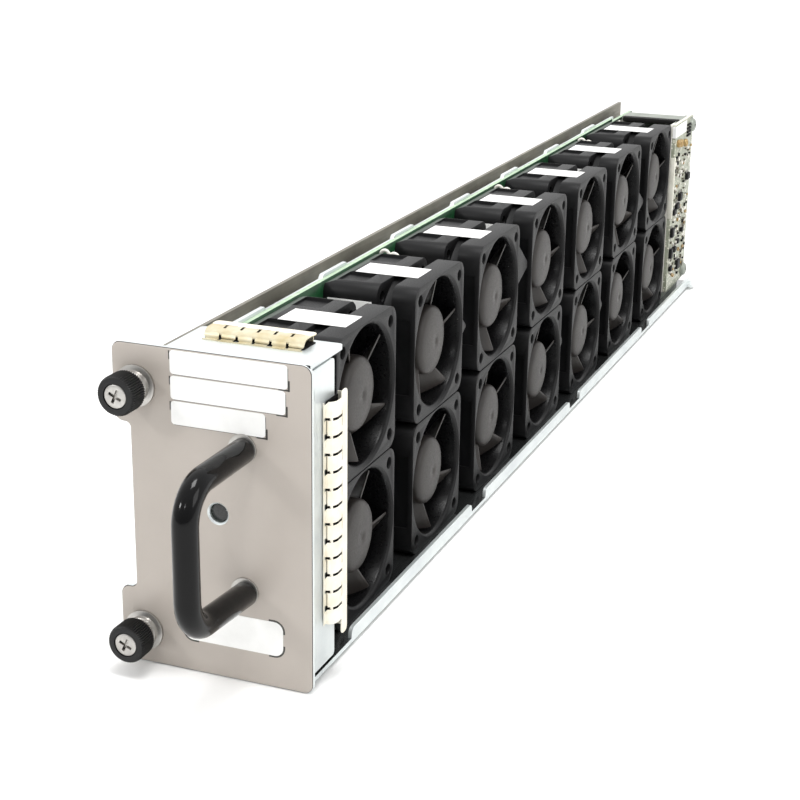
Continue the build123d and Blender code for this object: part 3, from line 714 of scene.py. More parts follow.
@dataclass
class FrontPlate(SubAssembly):
    """Painted plate with its ears and two zinc flanges, its labels and its status light."""

    face_y: float = FACE_Y
    sheet: float = 1.2
    left: float = -29.0
    ear_left: float = -33.5
    right: float = 20.0
    bottom: float = -1.2
    top: float = 84.0
    ear_h: float = 20.5
    corner: float = 2.5
    neck_corner: float = 1.5
    status: Span = (-5.3, 43.1)
    status_d: float = 5.0
    ferrule_d: float = 7.9
    edge_break: float = 0.42
    flange_left: float = -19.0
    top_run: float = 20.0
    side_run: float = 13.5
    label_t: float = 0.15

    def sheet_metal(self) -> Thing:
        """Model the plate: face, ears, flanges and holes.

        Returns:
            The plate.
        """
        rear = self.face_y + self.sheet
        plate = box("front_plate_sheet", (self.left, self.right), (self.face_y, rear),
                    (self.bottom, self.top))
        steps = (self.bottom + self.ear_h, self.top - self.ear_h)
        with editing(plate):
            for step in steps:
                bpy.ops.mesh.select_all(action="SELECT")
                bpy.ops.mesh.bisect(plane_co=(0, 0, step * MM), plane_no=(0, 0, 1))
            pick_faces(plate, lambda at, way: way.x < -0.9 and not steps[0] < at.z < steps[1])
            extrude(self.ear_left - self.left, 0, 0)
            bpy.ops.mesh.select_all(action="SELECT")
            bpy.ops.mesh.dissolve_limited(angle_limit=0.02)
        round_corners(plate, lambda at, way: abs(way.y) > 0.9 and abs(at.x - self.left) < 0.1,
                      self.neck_corner, 5)
        round_corners(plate, lambda at, way: abs(way.y) > 0.9 and (
            abs(at.x - self.ear_left) < 0.1 or abs(at.x - self.right) < 0.1), self.corner, 7)
        round_corners(plate, lambda at, way: at.y < self.face_y + 0.05 and abs(way.y) < 0.1,
                      self.edge_break, 3)
        top = box("top_flange", (self.flange_left, self.right - 0.6),
                  (rear - 0.6, self.face_y + self.top_run), (self.top - self.sheet, self.top))
        round_corners(top, lambda at, way: abs(way.z) > 0.9 and at.y > self.face_y + 10, 1.2, 4)
        side = box("side_flange", (self.right - self.sheet, self.right - 0.22),
                   (rear - 0.6, self.face_y + self.side_run), (self.bottom + 5.2, self.top - 1.5))
        round_corners(side, lambda at, way: abs(way.x) > 0.9 and at.y > self.face_y + 10, 1.0, 4)
        for flange in (top, side):
            combine(plate, [flange], "UNION")
        middle_y = self.face_y + self.sheet / 2
        hole = turned("hole", Axis.FRONT, (self.status[0], self.face_y, self.status[1]), [
            (-3.0, self.status_d / 2), (-0.45, self.status_d / 2), (0.1, self.status_d / 2 + 0.55)], 48)
        cutters = [hole]
        for z in CAPTIVE_Z.values():
            cutters.append(rod("hole", Axis.FRONT, self.ferrule_d, 4, (CAPTIVE_X, middle_y, z)))
        combine(plate, cutters)
        return ease(plate, 0.1, 2)

    def labels(self) -> None:
        """Model the blank labels, the printed marks round them and painted shadow lines along their lower and
        right edges.
        """
        spans = ((-17.4, 13.8, 77.5, 83.5), (-17.4, 13.2, 71.1, 77.1), (-17.4, 7.9, 64.7, 70.7))
        stack, marks = [], []
        y = (self.face_y - self.label_t, self.face_y + 0.02)
        ink_y = (self.face_y - 0.04, self.face_y + 0.02)
        for left, right, low, high in spans:
            label = box("label", (left, right), y, (low, high))
            round_corners(label, along("y"), 0.9, 4)
            stack.append(label)
            # The first three boxes are printed corner marks; the last two are thin dark lines along each
            # label's bottom and right edges, painted shadow of the raised label.
            for x, z in (((right, right + 0.55), (low - 0.45, low + 2.2)),
                         ((right - 2.4, right + 0.2), (low - 0.4, low)),
                         ((left - 0.35, left), (high - 2.4, high - 0.2)),
                         ((left + 0.8, right - 0.8), (low - 0.14, low)),
                         ((right, right + 0.14), (low + 0.8, high - 0.8))):
                marks.append(box("mark", x, ink_y, z))
        low_label = box("label", (-15.4, 12.0), y, (7.6, 16.8))
        round_corners(low_label, along("y"), 2.4, 6)
        stack.append(low_label)
        frame = box("mark", (-15.9, 12.5), ink_y, (7.1, 17.3))
        round_corners(frame, along("y"), 2.9, 6)
        combine(frame, [box("cut", (-11.5, 8.1), (-212, -210), (6, 18)),
                        box("cut", (-17, 13), (-212, -210), (10.6, 13.8))])
        marks.append(frame)
        labels = ease(joined("plate_blank_labels", stack), 0.04, 1)
        fit(labels, self.palette.label, "label_paper", "plate_labels")
        fit(joined("plate_corner_marks_and_shadow_lines", marks), self.palette.ink_and_shadow, "label_paper")

    def on_rim(self, at: Vector) -> bool:
        """Tell whether a place on the face is clear of the round holes."""
        ring = math.hypot(at.x - self.status[0], at.z - self.status[1])
        return at.y < self.face_y + 0.4 and ring > self.status_d

    def build(self) -> None:
        """Make the plate's pieces and seat them."""
        plate = dress(self.sheet_metal(), self.palette.zinc)
        dress_faces(plate, self.palette.paint, lambda at, way: way.y < -0.9 and at.y < self.face_y + 0.3)
        # Bevel faces round the face, and the left-facing ones further in, get the dark painted shade line.
        dress_faces(plate, self.palette.edge_shade,
                    lambda at, way: -0.9 <= way.y < -0.5 and self.on_rim(at))
        dress_faces(plate, self.palette.edge_shade,
                    lambda at, way: -0.9 <= way.y < -0.1 and way.x < -0.3 and self.on_rim(at))
        seat(plate, "tray", "plate_paint", "front_plate")
        self.labels()
        lens = turned("status_light_pipe", Axis.FRONT, (self.status[0], self.face_y, self.status[1]),
                      [(-6.2, 2.3), (-1.25, 2.45), (-1.1, 2.3), (-1.0, 0)], 40)
        fit(ease(lens, 0.05, 1), self.palette.lens, "lens_plastic", "status_lens")


@dataclass
class Handle(SubAssembly):
    """Bent bar with its dipped coat, and the washers under its feet."""

    x: float = 2.2
    low_z: float = 23.4
    pitch: float = 37.5
    diameter: float = 6.4
    reach: float = 30.0
    bend: float = 9.0
    face_y: float = FACE_Y
    washer_t: float = 0.6
    leg_rise: float = 1.5

    def bar(self) -> Thing:
        """Extrude and spin a ring along the bar's two bends.

        Returns:
            The bar.
        """
        foot_y = self.face_y - self.washer_t
        bend_y = self.face_y - self.reach + self.bend
        low_bend_z = self.low_z + self.leg_rise + self.bend
        high_bend_z = self.low_z + self.pitch - self.bend
        bpy.ops.mesh.primitive_circle_add(
            vertices=36, radius=self.diameter / 2 * MM, rotation=Axis.FRONT.value,
            location=(self.x * MM, foot_y * MM, self.low_z * MM))
        bar = named("handle_bar")
        quarter = {"steps": 12, "angle": math.pi / 2, "axis": (1, 0, 0)}
        with editing(bar, "EDGE"):
            bpy.ops.mesh.select_all(action="SELECT")
            extrude(0, bend_y - foot_y, self.leg_rise)
            bpy.ops.mesh.spin(center=(self.x * MM, bend_y * MM, low_bend_z * MM), **quarter)
            extrude(0, 0, high_bend_z - low_bend_z)
            bpy.ops.mesh.spin(center=(self.x * MM, bend_y * MM, high_bend_z * MM), **quarter)
            extrude(0, foot_y - bend_y, 0)
            close_up()
        return ease(bar, 0.5, 3, 60)

    def build(self) -> None:
        """Make the bar and washers and seat them."""
        fit(self.bar(), self.palette.dip, "handle_coat", "handle")
        profile = [(0.02, 1.2), (0.02, 3.7), (0.58, 3.7), (0.58, 1.2), (0.02, 1.2)]
        rings = [turned("washer", Axis.FRONT, (self.x - 0.4, self.face_y, z + 0.3), profile, 48)
                 for z in (self.low_z, self.low_z + self.pitch)]
        washers = ease(joined("handle_bright_washers", rings), 0.1, 2)
        fit(washers, self.palette.nickel, "bright_steel", "handle_washers")


@dataclass
class CaptiveScrew(SubAssembly):
    """Ferrule, spring, knurled knob and cross-recess screw on one ear."""

    row: str
    z: float
    x: float = CAPTIVE_X
    face_y: float = FACE_Y
    pocket: float = 0.6
    travel: float = 3.0
    coil_radius: float = 2.9
    coil_pitch: float = 1.4
    coil_turns: int = 5
    coil_end: float = 0.3
    wire_r: float = 0.24
    ring_sides: int = 104
    knurl_draw: float = 0.935

    def lathe(self, name: str, profile: Sequence[Span], sides: int = 64) -> Thing:
        """Turn a piece about the screw's axis, heights measured out of the plate."""
        return turned(f"{name}_{self.row}", Axis.FRONT, (self.x, self.face_y, self.z), profile, sides)

    def ferrule(self) -> Thing:
        """Turned retainer with a flange and two rings."""
        profile = [(-1.8, 1.7), (-1.8, 3.95), (0.0, 3.95), (0.0, 5.35), (0.75, 5.35), (0.8, 4.0), (1.3, 4.0),
                   (1.4, 3.95), (2.0, 3.95), (2.1, 3.7), (2.4, 3.7), (2.5, 3.95), (3.1, 3.95), (3.2, 3.7),
                   (3.6, 3.6), (3.6, 3.45), (-0.6, 3.45), (-0.6, 1.7), (-1.8, 1.7)]
        return ease(self.lathe("ferrule", profile), 0.06, 2)

    def knob(self) -> Thing:
        """Knob with a knurled rim, a soft front edge and a pocket for the head.

        Returns:
            The knob.
        """
        profile = [(3.9, 4.25), (3.9, 4.75), (4.2, 5.1), (8.9, 5.15), (9.45, 5.0), (9.8, 4.65), (9.9, 4.2),
                   (9.9, 3.2), (9.0, 3.12), (9.0, 1.65), (7.5, 1.65), (7.5, 4.25), (3.9, 4.25)]
        knob = self.lathe("knob", profile, self.ring_sides)
        with editing(knob, "VERT"):
            mesh = bmesh.from_edit_mesh(knob.data)
            for vert in mesh.verts:
                at = vert.co / MM
                out = math.hypot(at.x - self.x, at.z - self.z)
                step = round(math.atan2(at.z - self.z, at.x - self.x) / math.tau * self.ring_sides)
                vert.select_set(step % 2 == 0 and out > 4.7)
            bmesh.update_edit_mesh(knob.data)
            centre = (self.x * MM, 0, self.z * MM)
            bpy.ops.transform.resize(value=(self.knurl_draw, 1, self.knurl_draw), center_override=centre)
        return shade(knob, 25)

    def screw(self) -> Thing:
        """Screw with a bevelled head, a cross recess, a neck and its thread.

        Returns:
            The screw.
        """
        profile = [(-6.4, 1.5), (-5.9, 2.0)]
        for i in range(9):
            profile += [(-5.6 + i * 0.42, 2.0), (-5.4 + i * 0.42, 1.75)]
        profile += [(-1.9, 1.6), (9.02, 1.6), (9.02, 2.9), (9.3, 3.05), (9.75, 2.95), (9.88, 2.5), (9.9, 0)]
        screw = self.lathe("screw", profile, 48)
        arms = [box("arm", (self.x - 1.8, self.x + 1.8), (self.face_y - 10.3, self.face_y - 8.9),
                    (self.z - 0.375, self.z + 0.375), (0, turn, 0)) for turn in (25.0, 115.0)]
        combine(screw, arms)
        return ease(screw, 0.06, 2)

    def spring(self) -> Thing:
        """Coil between the ferrule's floor and the washer in the knob.

        Returns:
            The coil.
        """
        bpy.ops.mesh.primitive_circle_add(
            vertices=10, radius=self.wire_r * MM, rotation=Axis.FRONT.value,
            location=(self.coil_radius * MM, 0, (self.coil_end - self.pocket) * MM))
        coil = named(f"spring_{self.row}")
        modify(coil, "SCREW", axis="Z", angle=math.tau, screw_offset=self.coil_pitch * MM,
               iterations=self.coil_turns, steps=24, render_steps=24)
        with editing(coil, "EDGE"):
            close_up()
        coil.rotation_euler = Axis.FRONT.value
        coil.location = Vector((self.x, self.face_y, self.z)) * MM
        return shade(settle(coil), 50)

    def build(self) -> None:
        """Make the four pieces and seat them, with a mesh of its own for the coil."""
        fit(self.ferrule(), self.palette.nickel, "bright_steel", f"captive_ferrule_{self.row}")
        coil = fit(self.spring(), self.palette.nickel, "bright_steel", f"captive_spring_{self.row}")
        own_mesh(coil)
        body = f"thumb_screw_{self.row}"
        seat(dress(self.knob(), self.palette.knob), body, "knob_black", f"captive_knob_{self.row}")
        seat(dress(self.screw(), self.palette.nickel), body, "bright_steel", f"captive_screw_{self.row}")


@dataclass
class FingerStrip(SubAssembly):
    """Spring-finger gasket: curved noses, flat backs and a rail, slit by turns at front and rear."""

    name: str
    node: str
    fingers: int
    slant: float = 1.0
    rail_past: Span = (0.3, 0.3)
    bright_from: float = 5.0
    slit_run: float = 2.6
    pale: bool = False
    pitch: float = 4.5
    gap: float = 0.35
    width: float = 8.2
    rise: float = 2.5
    thick: float = 0.26
    rail_w: float = 3.2
    foot: float = 0.8
    slit: float = 0.66

    @property
    def length(self) -> float:
        """Length of the row of fingers."""
        return self.fingers * self.pitch - self.gap

    def sheet(self) -> Thing:
        """Spin the nose off the flat back, and add foot, rail and rear leg: width on X, rise on Y.

        Returns:
            The strip, before it is slit.
        """
        half = self.length / 2
        nose = self.rise + 0.3
        rail_x = self.width - self.rail_w
        strip = box(self.name, (nose, rail_x), (self.rise - self.thick, self.rise), (-half, half))
        with editing(strip):
            pick_faces(strip, lambda at, way: way.x < -0.9)
            bpy.ops.mesh.spin(steps=9, angle=math.pi / 2, center=(nose * MM, 0, 0), axis=(0, 0, -1))
            bpy.ops.mesh.select_all(action="SELECT")
            bpy.ops.mesh.remove_doubles(threshold=0.001 * MM)
            bpy.ops.mesh.normals_make_consistent(inside=False)
        foot = box("foot", (-self.foot, 0.5), (0.0, self.thick), (-half, half))
        ends = (-half - self.rail_past[0], half + self.rail_past[1])
        rail = box("rail", (rail_x - 0.2, self.width), (self.rise - self.thick, self.rise), ends)
        round_corners(rail, along("y"), 1.2, 5)
        leg = box("leg", (self.width - self.thick, self.width), (0.0, self.rise - 0.05),
                  (ends[0] + 1.2, ends[1] - 1.2))
        for piece in (foot, rail, leg):
            combine(strip, [piece], "UNION")
        return strip

    def cutters(self) -> list[Thing]:
        """Slanted slits in the back, ticks and corners at the nose, and slots round every second finger.

        Returns:
            The cutters, over the whole strip.
        """
        half, slit = self.length / 2, self.slit / 2
        top = (self.rise - 1.3, self.rise + 1.0)
        rail_x = self.width - self.rail_w
        tools = []
        for i in range(self.fingers + 1):
            at = i * self.pitch - half - self.gap / 2
            corner = 0.7 if i % 2 == 0 else 0.42
            tick = (at - corner, at + corner)
            tools.append(box("cutter", (-0.5, 0.9), (-corner, corner), tick, (45, 0, 0)))
            if 0 < i < self.fingers:
                slits = (at - slit, at + slit)
                reach = (rail_x - self.slit_run, rail_x + 0.2)
                tools.append(box("cutter", reach, top, slits, (0, -24 * self.slant, 0)))
                tools.append(box("cutter", (-0.5, 0.85), (0.3, 1.7), slits))
            if i % 2 and i < self.fingers:
                span = (at + 0.2, at + self.pitch - 0.5)
                past = (span[0] - 1.4, span[1] - 1.4)
                tools.append(box("cutter", (-0.5, 0.6), (0.3, 0.72), span))
                tools.append(box("cutter", (rail_x - 0.1, rail_x + 0.16), top, past))
        return tools

    def in_slit(self, at: Vector, way: Vector) -> bool:
        """Tell whether a face lies under the strip or inside a cut, where near-black painted shade goes.

        Args:
            at: The face's middle, in millimetres.
            way: Its normal.

        Returns:
            Whether it does.
        """
        under = way.y < -0.2 and at.y > self.rise / 2
        inside = abs(at.z) < self.length / 2 - 0.3 and -0.45 < at.x < self.width - 1.0
        return under or (inside and abs(way.y) < 0.5 and abs(way.z) > 0.4)

    def build(self, place: Matrix) -> None:
        """Cut, place and seat the strip.

        Args:
            place: Where the strip's own frame lies.
        """
        strip = self.sheet()
        combine(strip, self.cutters())
        ease(strip, 0.05, 1)
        # The side strip is all painted highlight; the top strip's outward faces past bright_from get it too.
        dress(strip, self.palette.strip_highlight if self.pale else self.palette.gasket)
        first = self.bright_from
        dress_faces(strip, self.palette.strip_highlight, lambda at, way: way.y > 0.7 and at.x > first)
        # Faces under the strip and inside the cuts get near-black painted shade.
        dress_faces(strip, self.palette.painted_shade, self.in_slit)
        half = self.length / 2
        # A thin near-black sheet under the fingers: painted shade that shows through the slits.
        painted_shade = box(f"{self.name}_tape", (0.6, self.width - 0.4), (0.02, 0.2), (-half, half))
        round_corners(painted_shade, along("y"), 0.5, 3)
        for piece in (strip, painted_shade):
            piece.matrix_world = place
            settle(piece)
        seat(strip, "tray", "gasket_metal", self.node)
        fit(painted_shade, self.palette.painted_shade, "gasket_metal")


@dataclass
class Tray(SubAssembly):
    """Folded tray: floor, lips, tall wall with its air holes, front tab."""

    wall_x: float = -21.2
    sheet: float = 1.2
    lip_x: float = 18.4
    lip_h: float = 4.0
    front_y: float = -209.6
    rear_y: float = 225.0
    wall_h: float = 83.2
    hole_d: float = 37.0
    lips: tuple[Span, ...] = ((-182.9, -87.95), (-74.95, 20.65), (33.65, 129.25), (142.25, 225.0))

    def build(self) -> None:
        """Make the folded sheet and seat it."""
        palette = self.palette
        inner = self.wall_x + self.sheet
        wall = box("tray_sheet", (self.wall_x, inner), (self.front_y, self.rear_y), (0.0, self.wall_h))
        holes = [rod("hole", Axis.X, self.hole_d, 4, (self.wall_x + 0.6, y, z), 56)
                 for y in COLUMNS for z in ROWS.values()]
        combine(wall, holes)
        floor = box("floor", (self.wall_x, self.lip_x), (self.front_y, self.rear_y), (0.0, self.sheet))
        combine(wall, [floor], "UNION")
        for low, high in self.lips:
            lip = box("lip", (self.lip_x - 1.0, self.lip_x), (low, high), (0.3, self.lip_h))
            round_corners(lip, lambda at, way: abs(way.x) > 0.9 and at.z > 3, 2.0, 5)
            combine(wall, [lip], "UNION")
        tab = box("tab", (-16.8, 14.4), (self.front_y, self.front_y + self.sheet), (0.3, 12.0))
        combine(wall, [tab], "UNION")
        hook = box("hook", (self.lip_x - 0.5, self.lip_x + 2.4), (self.rear_y - 7.5, self.rear_y - 0.8),
                   (0.15, 1.35))
        round_corners(hook, lambda at, way: abs(way.z) > 0.9 and at.x > self.lip_x, 1.4, 5)
        combine(wall, [hook], "UNION")
        tray = dress(ease(wall, 0.18, 2), palette.zinc)
        # The wall's faces take the darker zinc: painted shade.
        dress_faces(tray, palette.shaded_wall_zinc, lambda at, way: at.x < inner + 0.05 and at.z > self.sheet + 0.2)
        # The floor's top face: smoother zinc, with a darker colour that paints the shade under the fans.
        dress_faces(tray, palette.shaded_floor_zinc, lambda at, way: way.z > 0.9 and abs(at.z - self.sheet) < 0.05)
        seat(tray, "tray", "zinc_sheet", "tray_base")


@dataclass
class Fan:
    """One small axial fan: moulded housing and rotor, modelled about the origin."""

    size: float = 40.0
    depth: float = 28.0
    corner: float = 4.0
    bore: float = 37.4
    flange: float = 7.2
    waist: float = 4.4
    hole_at: float = 16.0
    hole_d: float = 3.4
    hub_d: float = 20.5
    blades: int = 5
    blade_x: Span = (-6.7, 10.3)
    blade_z: Span = (9.8, 18.1)
    blade_half: float = 0.42
    tip_run: float = 19.2
    slices: int = 16
    sweep: float = 86.0
    lead: float = -35.0

    def housing(self) -> Thing:
        """Model the housing with its waist, pockets, bore, holes and motor mount.

        Returns:
            The housing.
        """
        front, half = self.depth / 2, self.size / 2
        body = box("fan_housing", (-front, front), (-half, half), (-half, half))
        round_corners(body, along("x"), self.corner, 7)
        waist_x = (front - self.flange - self.waist, front - self.flange)
        waist = box("waist", waist_x, (-half - 2, half + 2), (-half - 2, half + 2))
        combine(waist, [rod("barrel", Axis.X, self.size - 0.3, 8, (sum(waist_x) / 2, 0, 0), 72)])
        combine(body, [waist])
        combine(body, self.pockets())
        wall = self.bore / 2
        profile = [(-front - 0.1, wall), (front - 1.3, wall), (front - 0.5, wall + 0.35),
                   (front + 0.1, wall + 1.1)]
        combine(body, [turned("bore", Axis.X, (0, 0, 0), profile, 72)])
        holes = [rod("hole", Axis.X, self.hole_d, self.depth + 2, (0, y, z), 20)
                 for y in (-self.hole_at, self.hole_at) for z in (-self.hole_at, self.hole_at)]
        combine(body, holes)
        combine(body, [self.slope(side) for side in (-1, 1)])
        ease(body, 0.3, 2)
        mount = [rod("base", Axis.X, 21.0, 3.4, (-front + 1.7, 0, 0), 40)]
        for i in range(4):
            arm = box("arm", (-front, -front + 2.4), (9.5, wall + 0.4), (-1.3, 1.3))
            mount.append(twin(arm, "arm", turn=45.0 + 90 * i))
            bpy.data.objects.remove(arm, do_unlink=True)
        mounted = ease(joined("motor_mount", mount), 0.25, 2)
        return joined("fan_housing", [body, mounted])

    def slope(self, side: int) -> Thing:
        """Make the cutter for the slope along the rear edge.

        Args:
            side: 1 for the slope on top, -1 for the one underneath.

        Returns:
            The cutter.
        """
        rise = math.radians(18.0)
        middle = Vector((-self.depth / 2, 0, side * (self.size / 2 - 1.15)))
        middle += Vector((-math.sin(rise), 0, side * math.cos(rise))) * 2.0
        bpy.ops.mesh.primitive_cube_add(size=1.0, location=middle * MM, rotation=(0, -side * rise, 0),
                                        scale=(12 * MM, 50 * MM, 4 * MM))
        return named("slope")

    def in_bore(self, at: Vector, way: Vector) -> bool:
        """Tell whether a face belongs to the bore's wall."""
        out = math.hypot(at.y, at.z)
        return abs(way.x) < 0.5 and abs(out - self.bore / 2) < 0.6 and way.y * at.y + way.z * at.z < 0

    def skin(self, side: int, deep: float) -> Span:
        """Limits of a cutter that goes so deep into the housing on one side, 1 or -1."""
        low, high = sorted((side * (self.size / 2 - deep), side * (self.size / 2 + 1)))
        return low, high

    def pockets(self) -> list[Thing]:
        """Cutters for the hollows of the rear block, on all four sides.

        Returns:
            The cutters.
        """
        cutters = [box("pocket", (-11.2, -2.6), y, self.skin(side, 1.0))
                   for y in ((7.0, 16.6), (-16.6, -7.0)) for side in (-1, 1)]
        for side in (-1, 1):
            cutters.append(box("pocket", (-11.2, 2.5), self.skin(side, 1.2), (-11.5, 11.5)))
            cutters.append(box("pocket", (6.7, 12.4), self.skin(side, 0.6), (-11.0, 11.0)))
        return cutters

    def rotor(self) -> Thing:
        """Model the rotor: domed hub, swept blades and shaft.

        Returns:
            The rotor.
        """
        profile = [(-9.8, 9.9), (-9.4, 10.25), (10.3, 10.25), (10.95, 10.12), (11.5, 9.8), (11.95, 9.25),
                   (12.25, 8.4), (12.5, 7.0), (12.72, 5.0), (12.84, 3.0), (12.88, 1.1), (12.7, 0.85),
                   (12.7, 0)]
        hub = shade(turned("hub", Axis.X, (0, 0, 0), profile, 60), 50)
        low, high = self.blade_x
        run = high - low
        blade = box("blade", self.blade_x, (-self.blade_half, self.blade_half), self.blade_z)
        with editing(blade):
            for i in range(1, self.slices):
                bpy.ops.mesh.select_all(action="SELECT")
                bpy.ops.mesh.bisect(plane_co=((low + run * i / self.slices) * MM, 0, 0), plane_no=(1, 0, 0))
            bpy.ops.mesh.select_all(action="DESELECT")
            pick_faces(blade, lambda at, way: way.z > 0.9)
            root = (low * MM, 0, self.blade_z[1] * MM)
            bpy.ops.transform.resize(value=(self.tip_run / run, 1, 1), center_override=root)
        modify(blade, "SIMPLE_DEFORM", deform_method="TWIST", deform_axis="X", angle=math.radians(self.sweep))
        ease(blade, 0.2, 2, 60)
        pieces = [hub, rod("shaft", Axis.X, 3.0, 5.0, (-11.0, 0, 0), 24)]
        for i in range(self.blades):
            pieces.append(twin(blade, "blade", turn=self.lead + i * 360 / self.blades))
        bpy.data.objects.remove(blade, do_unlink=True)
        return joined("fan_rotor", pieces)


@dataclass
class FanBank(SubAssembly):
    """Two rows of fans on the tray, with their labels, lugs and lead loops."""

    rest: tuple[float, ...] = (18.0, 37.0, -10.0, -2.0, 18.0, -6.0, 2.0,
                               44.0, 2.0, 35.0, 17.0, 27.0, 47.0, 5.0)
    tip_lead: float = 20.0
    lead_r: float = 0.55
    lead_leg: float = 7.0
    lug_places: tuple[tuple[float, float, float, float], ...] = (
        (-54.3, 75.0, 12.6, 15.6), (108.6, 62.6, 12.4, 11.6), (-108.6, 64.4, 5.6, 7.6),
        (0.0, 31.8, 5.0, 10.0), (54.3, 31.8, 6.0, 10.0))

    def labels(self) -> None:
        """A blank label on top of each upper fan, and one on every second fan's front side."""
        labels = []
        for i, y in enumerate(COLUMNS):
            shift = 1.2 if i == 0 else 0.0
            labels.append(box("label", (shift - 9.45, shift + 9.75), (y - 7.3, y + 3.7), (81.6, 81.74)))
            if i % 2:
                labels.append(box("label", (-12.65, 0.85), (y - 20.14, y - 20.0), (56.4, 76.8)))
        stack = ease(joined("fan_blank_labels", labels), 0.04, 1)
        fit(stack, self.palette.label, "label_paper", "fan_labels")

    def lugs(self) -> None:
        """Pointed lugs on the far side of some flanges, each a wedge drawn in at its tip."""
        lugs = []
        for y, top, reach, tall in self.lug_places:
            lug = box("lug", (11.2, 13.4), (y + 19.7, y + 20 + reach), (top - tall, top))
            with editing(lug):
                pick_faces(lug, lambda at, way: way.y > 0.9)
                tip = (12.3 * MM, (y + 20 + reach) * MM, (top - tall * 0.68) * MM)
                bpy.ops.transform.resize(value=(0.7, 1, 0.14), center_override=tip)
            lugs.append(lug)
        fit(ease(joined("fan_flange_lugs", lugs), 0.3, 2), self.palette.housing, "fan_plastic")

    def lead_loops(self) -> None:
        """Two short leads that loop up beside every second upper fan."""
        loops = []
        for y in COLUMNS[1::2]:
            for x, top in ((-11.9, 81.9), (-8.9, 81.2)):
                loops.append(self.loop((x, y + 21.2, top), 1.35))
        fit(shade(joined("fan_lead_loops", loops), 50), self.palette.nylon, "lead_insulation")

    def loop(self, crest: Point, radius: float) -> Thing:
        """Spin a ring over its crest, with a leg down on each side.

        Args:
            crest: The loop's highest point.
            radius: The bend's radius at the lead's middle.

        Returns:
            The loop.
        """
        x, y, top = crest
        middle = top - radius - self.lead_r
        foot = ((x - radius) * MM, y * MM, (middle - self.lead_leg) * MM)
        bpy.ops.mesh.primitive_circle_add(vertices=14, radius=self.lead_r * MM, location=foot)
        thing = named("loop")
        with editing(thing, "EDGE"):
            bpy.ops.mesh.select_all(action="SELECT")
            extrude(0, 0, self.lead_leg)
            bpy.ops.mesh.spin(steps=10, angle=math.pi, center=(x * MM, y * MM, middle * MM), axis=(0, -1, 0))
            extrude(0, 0, -self.lead_leg)
            close_up()
        return thing

    def build(self) -> None:
        """Make one fan and copy it to every place."""
        palette = self.palette
        fan = Fan()
        housing = dress(fan.housing(), palette.housing)
        # The bore's wall gets the blacker finish: painted shade.
        dress_faces(housing, palette.bore, fan.in_bore)
        # The rear slopes get painted light: paler grey with the board's green reflection.
        dress_faces(housing, palette.slope, lambda at, way: way.x < -0.2 and abs(way.z) > 0.9 and at.x < -9)
        rotor = dress(fan.rotor(), palette.rotor)
        for row, (name, z) in enumerate(ROWS.items()):
            for column, y in enumerate(COLUMNS):
                body = twin(housing, f"fan_housing_{name}_{column + 1}", (0, y, z))
                seat(body, "tray", "fan_plastic", f"fan_frames_{name}")
                turn = -self.tip_lead - self.rest[column + row * len(COLUMNS)]
                wheel = twin(rotor, f"fan_wheel_{name}_{column + 1}", (0, y, z), turn)
                seat(wheel, f"rotor_{name}_{column + 1}", "rotor_plastic", f"fan_rotor_{name}_{column + 1}")
        for spare in (housing, rotor):
            bpy.data.objects.remove(spare, do_unlink=True)
        self.labels()
        self.lead_loops()
        self.lugs()


@dataclass
class Boards(SubAssembly):
    """Fan board and the sheet panel behind it."""

    span: Span = (-200.0, 187.0)
    board_x: Span = (-15.6, -14.0)
    panel_x: Span = (-16.8, -15.6)
    foot_z: float = 1.2
    window: float = 36.0
    window_z: Span = (9.7, 73.1)

    def build(self) -> None:
        """Make the board and panel and seat them."""
        board = box("fan_board_laminate", self.board_x, self.span, (self.foot_z, 81.3))
        combine(board, [box("tail", self.board_x, (self.span[1] - 0.5, 223.0), (self.foot_z, 79.8))], "UNION")
        panel = box("inner_panel_sheet", self.panel_x, (self.span[0], 195.1), (self.foot_z, 81.0))
        for y in COLUMNS:
            for sheet in (board, panel):
                limits = (y - self.window / 2, y + self.window / 2)
                combine(sheet, [box("cut", (-18, -12), limits, self.window_z)])
        for y in COLUMNS:
            tab = box("tab", self.panel_x, (y - 17.5, y + 1.5), (80.6, 82.2))
            round_corners(tab, lambda at, way: abs(way.x) > 0.9 and at.z > 81, 1.4, 1)
            combine(panel, [tab], "UNION")
        ease(board, 0.1, 1)
        ease(panel, 0.12, 2)
        dress(board, self.palette.mask)
        dress_faces(board, self.palette.laminate, lambda at, way: abs(way.x) < 0.5 and at.z > 79)
        seat(board, "tray", "board_green", "fan_board")
        fit(panel, self.palette.zinc, "zinc_sheet", "inner_panel")


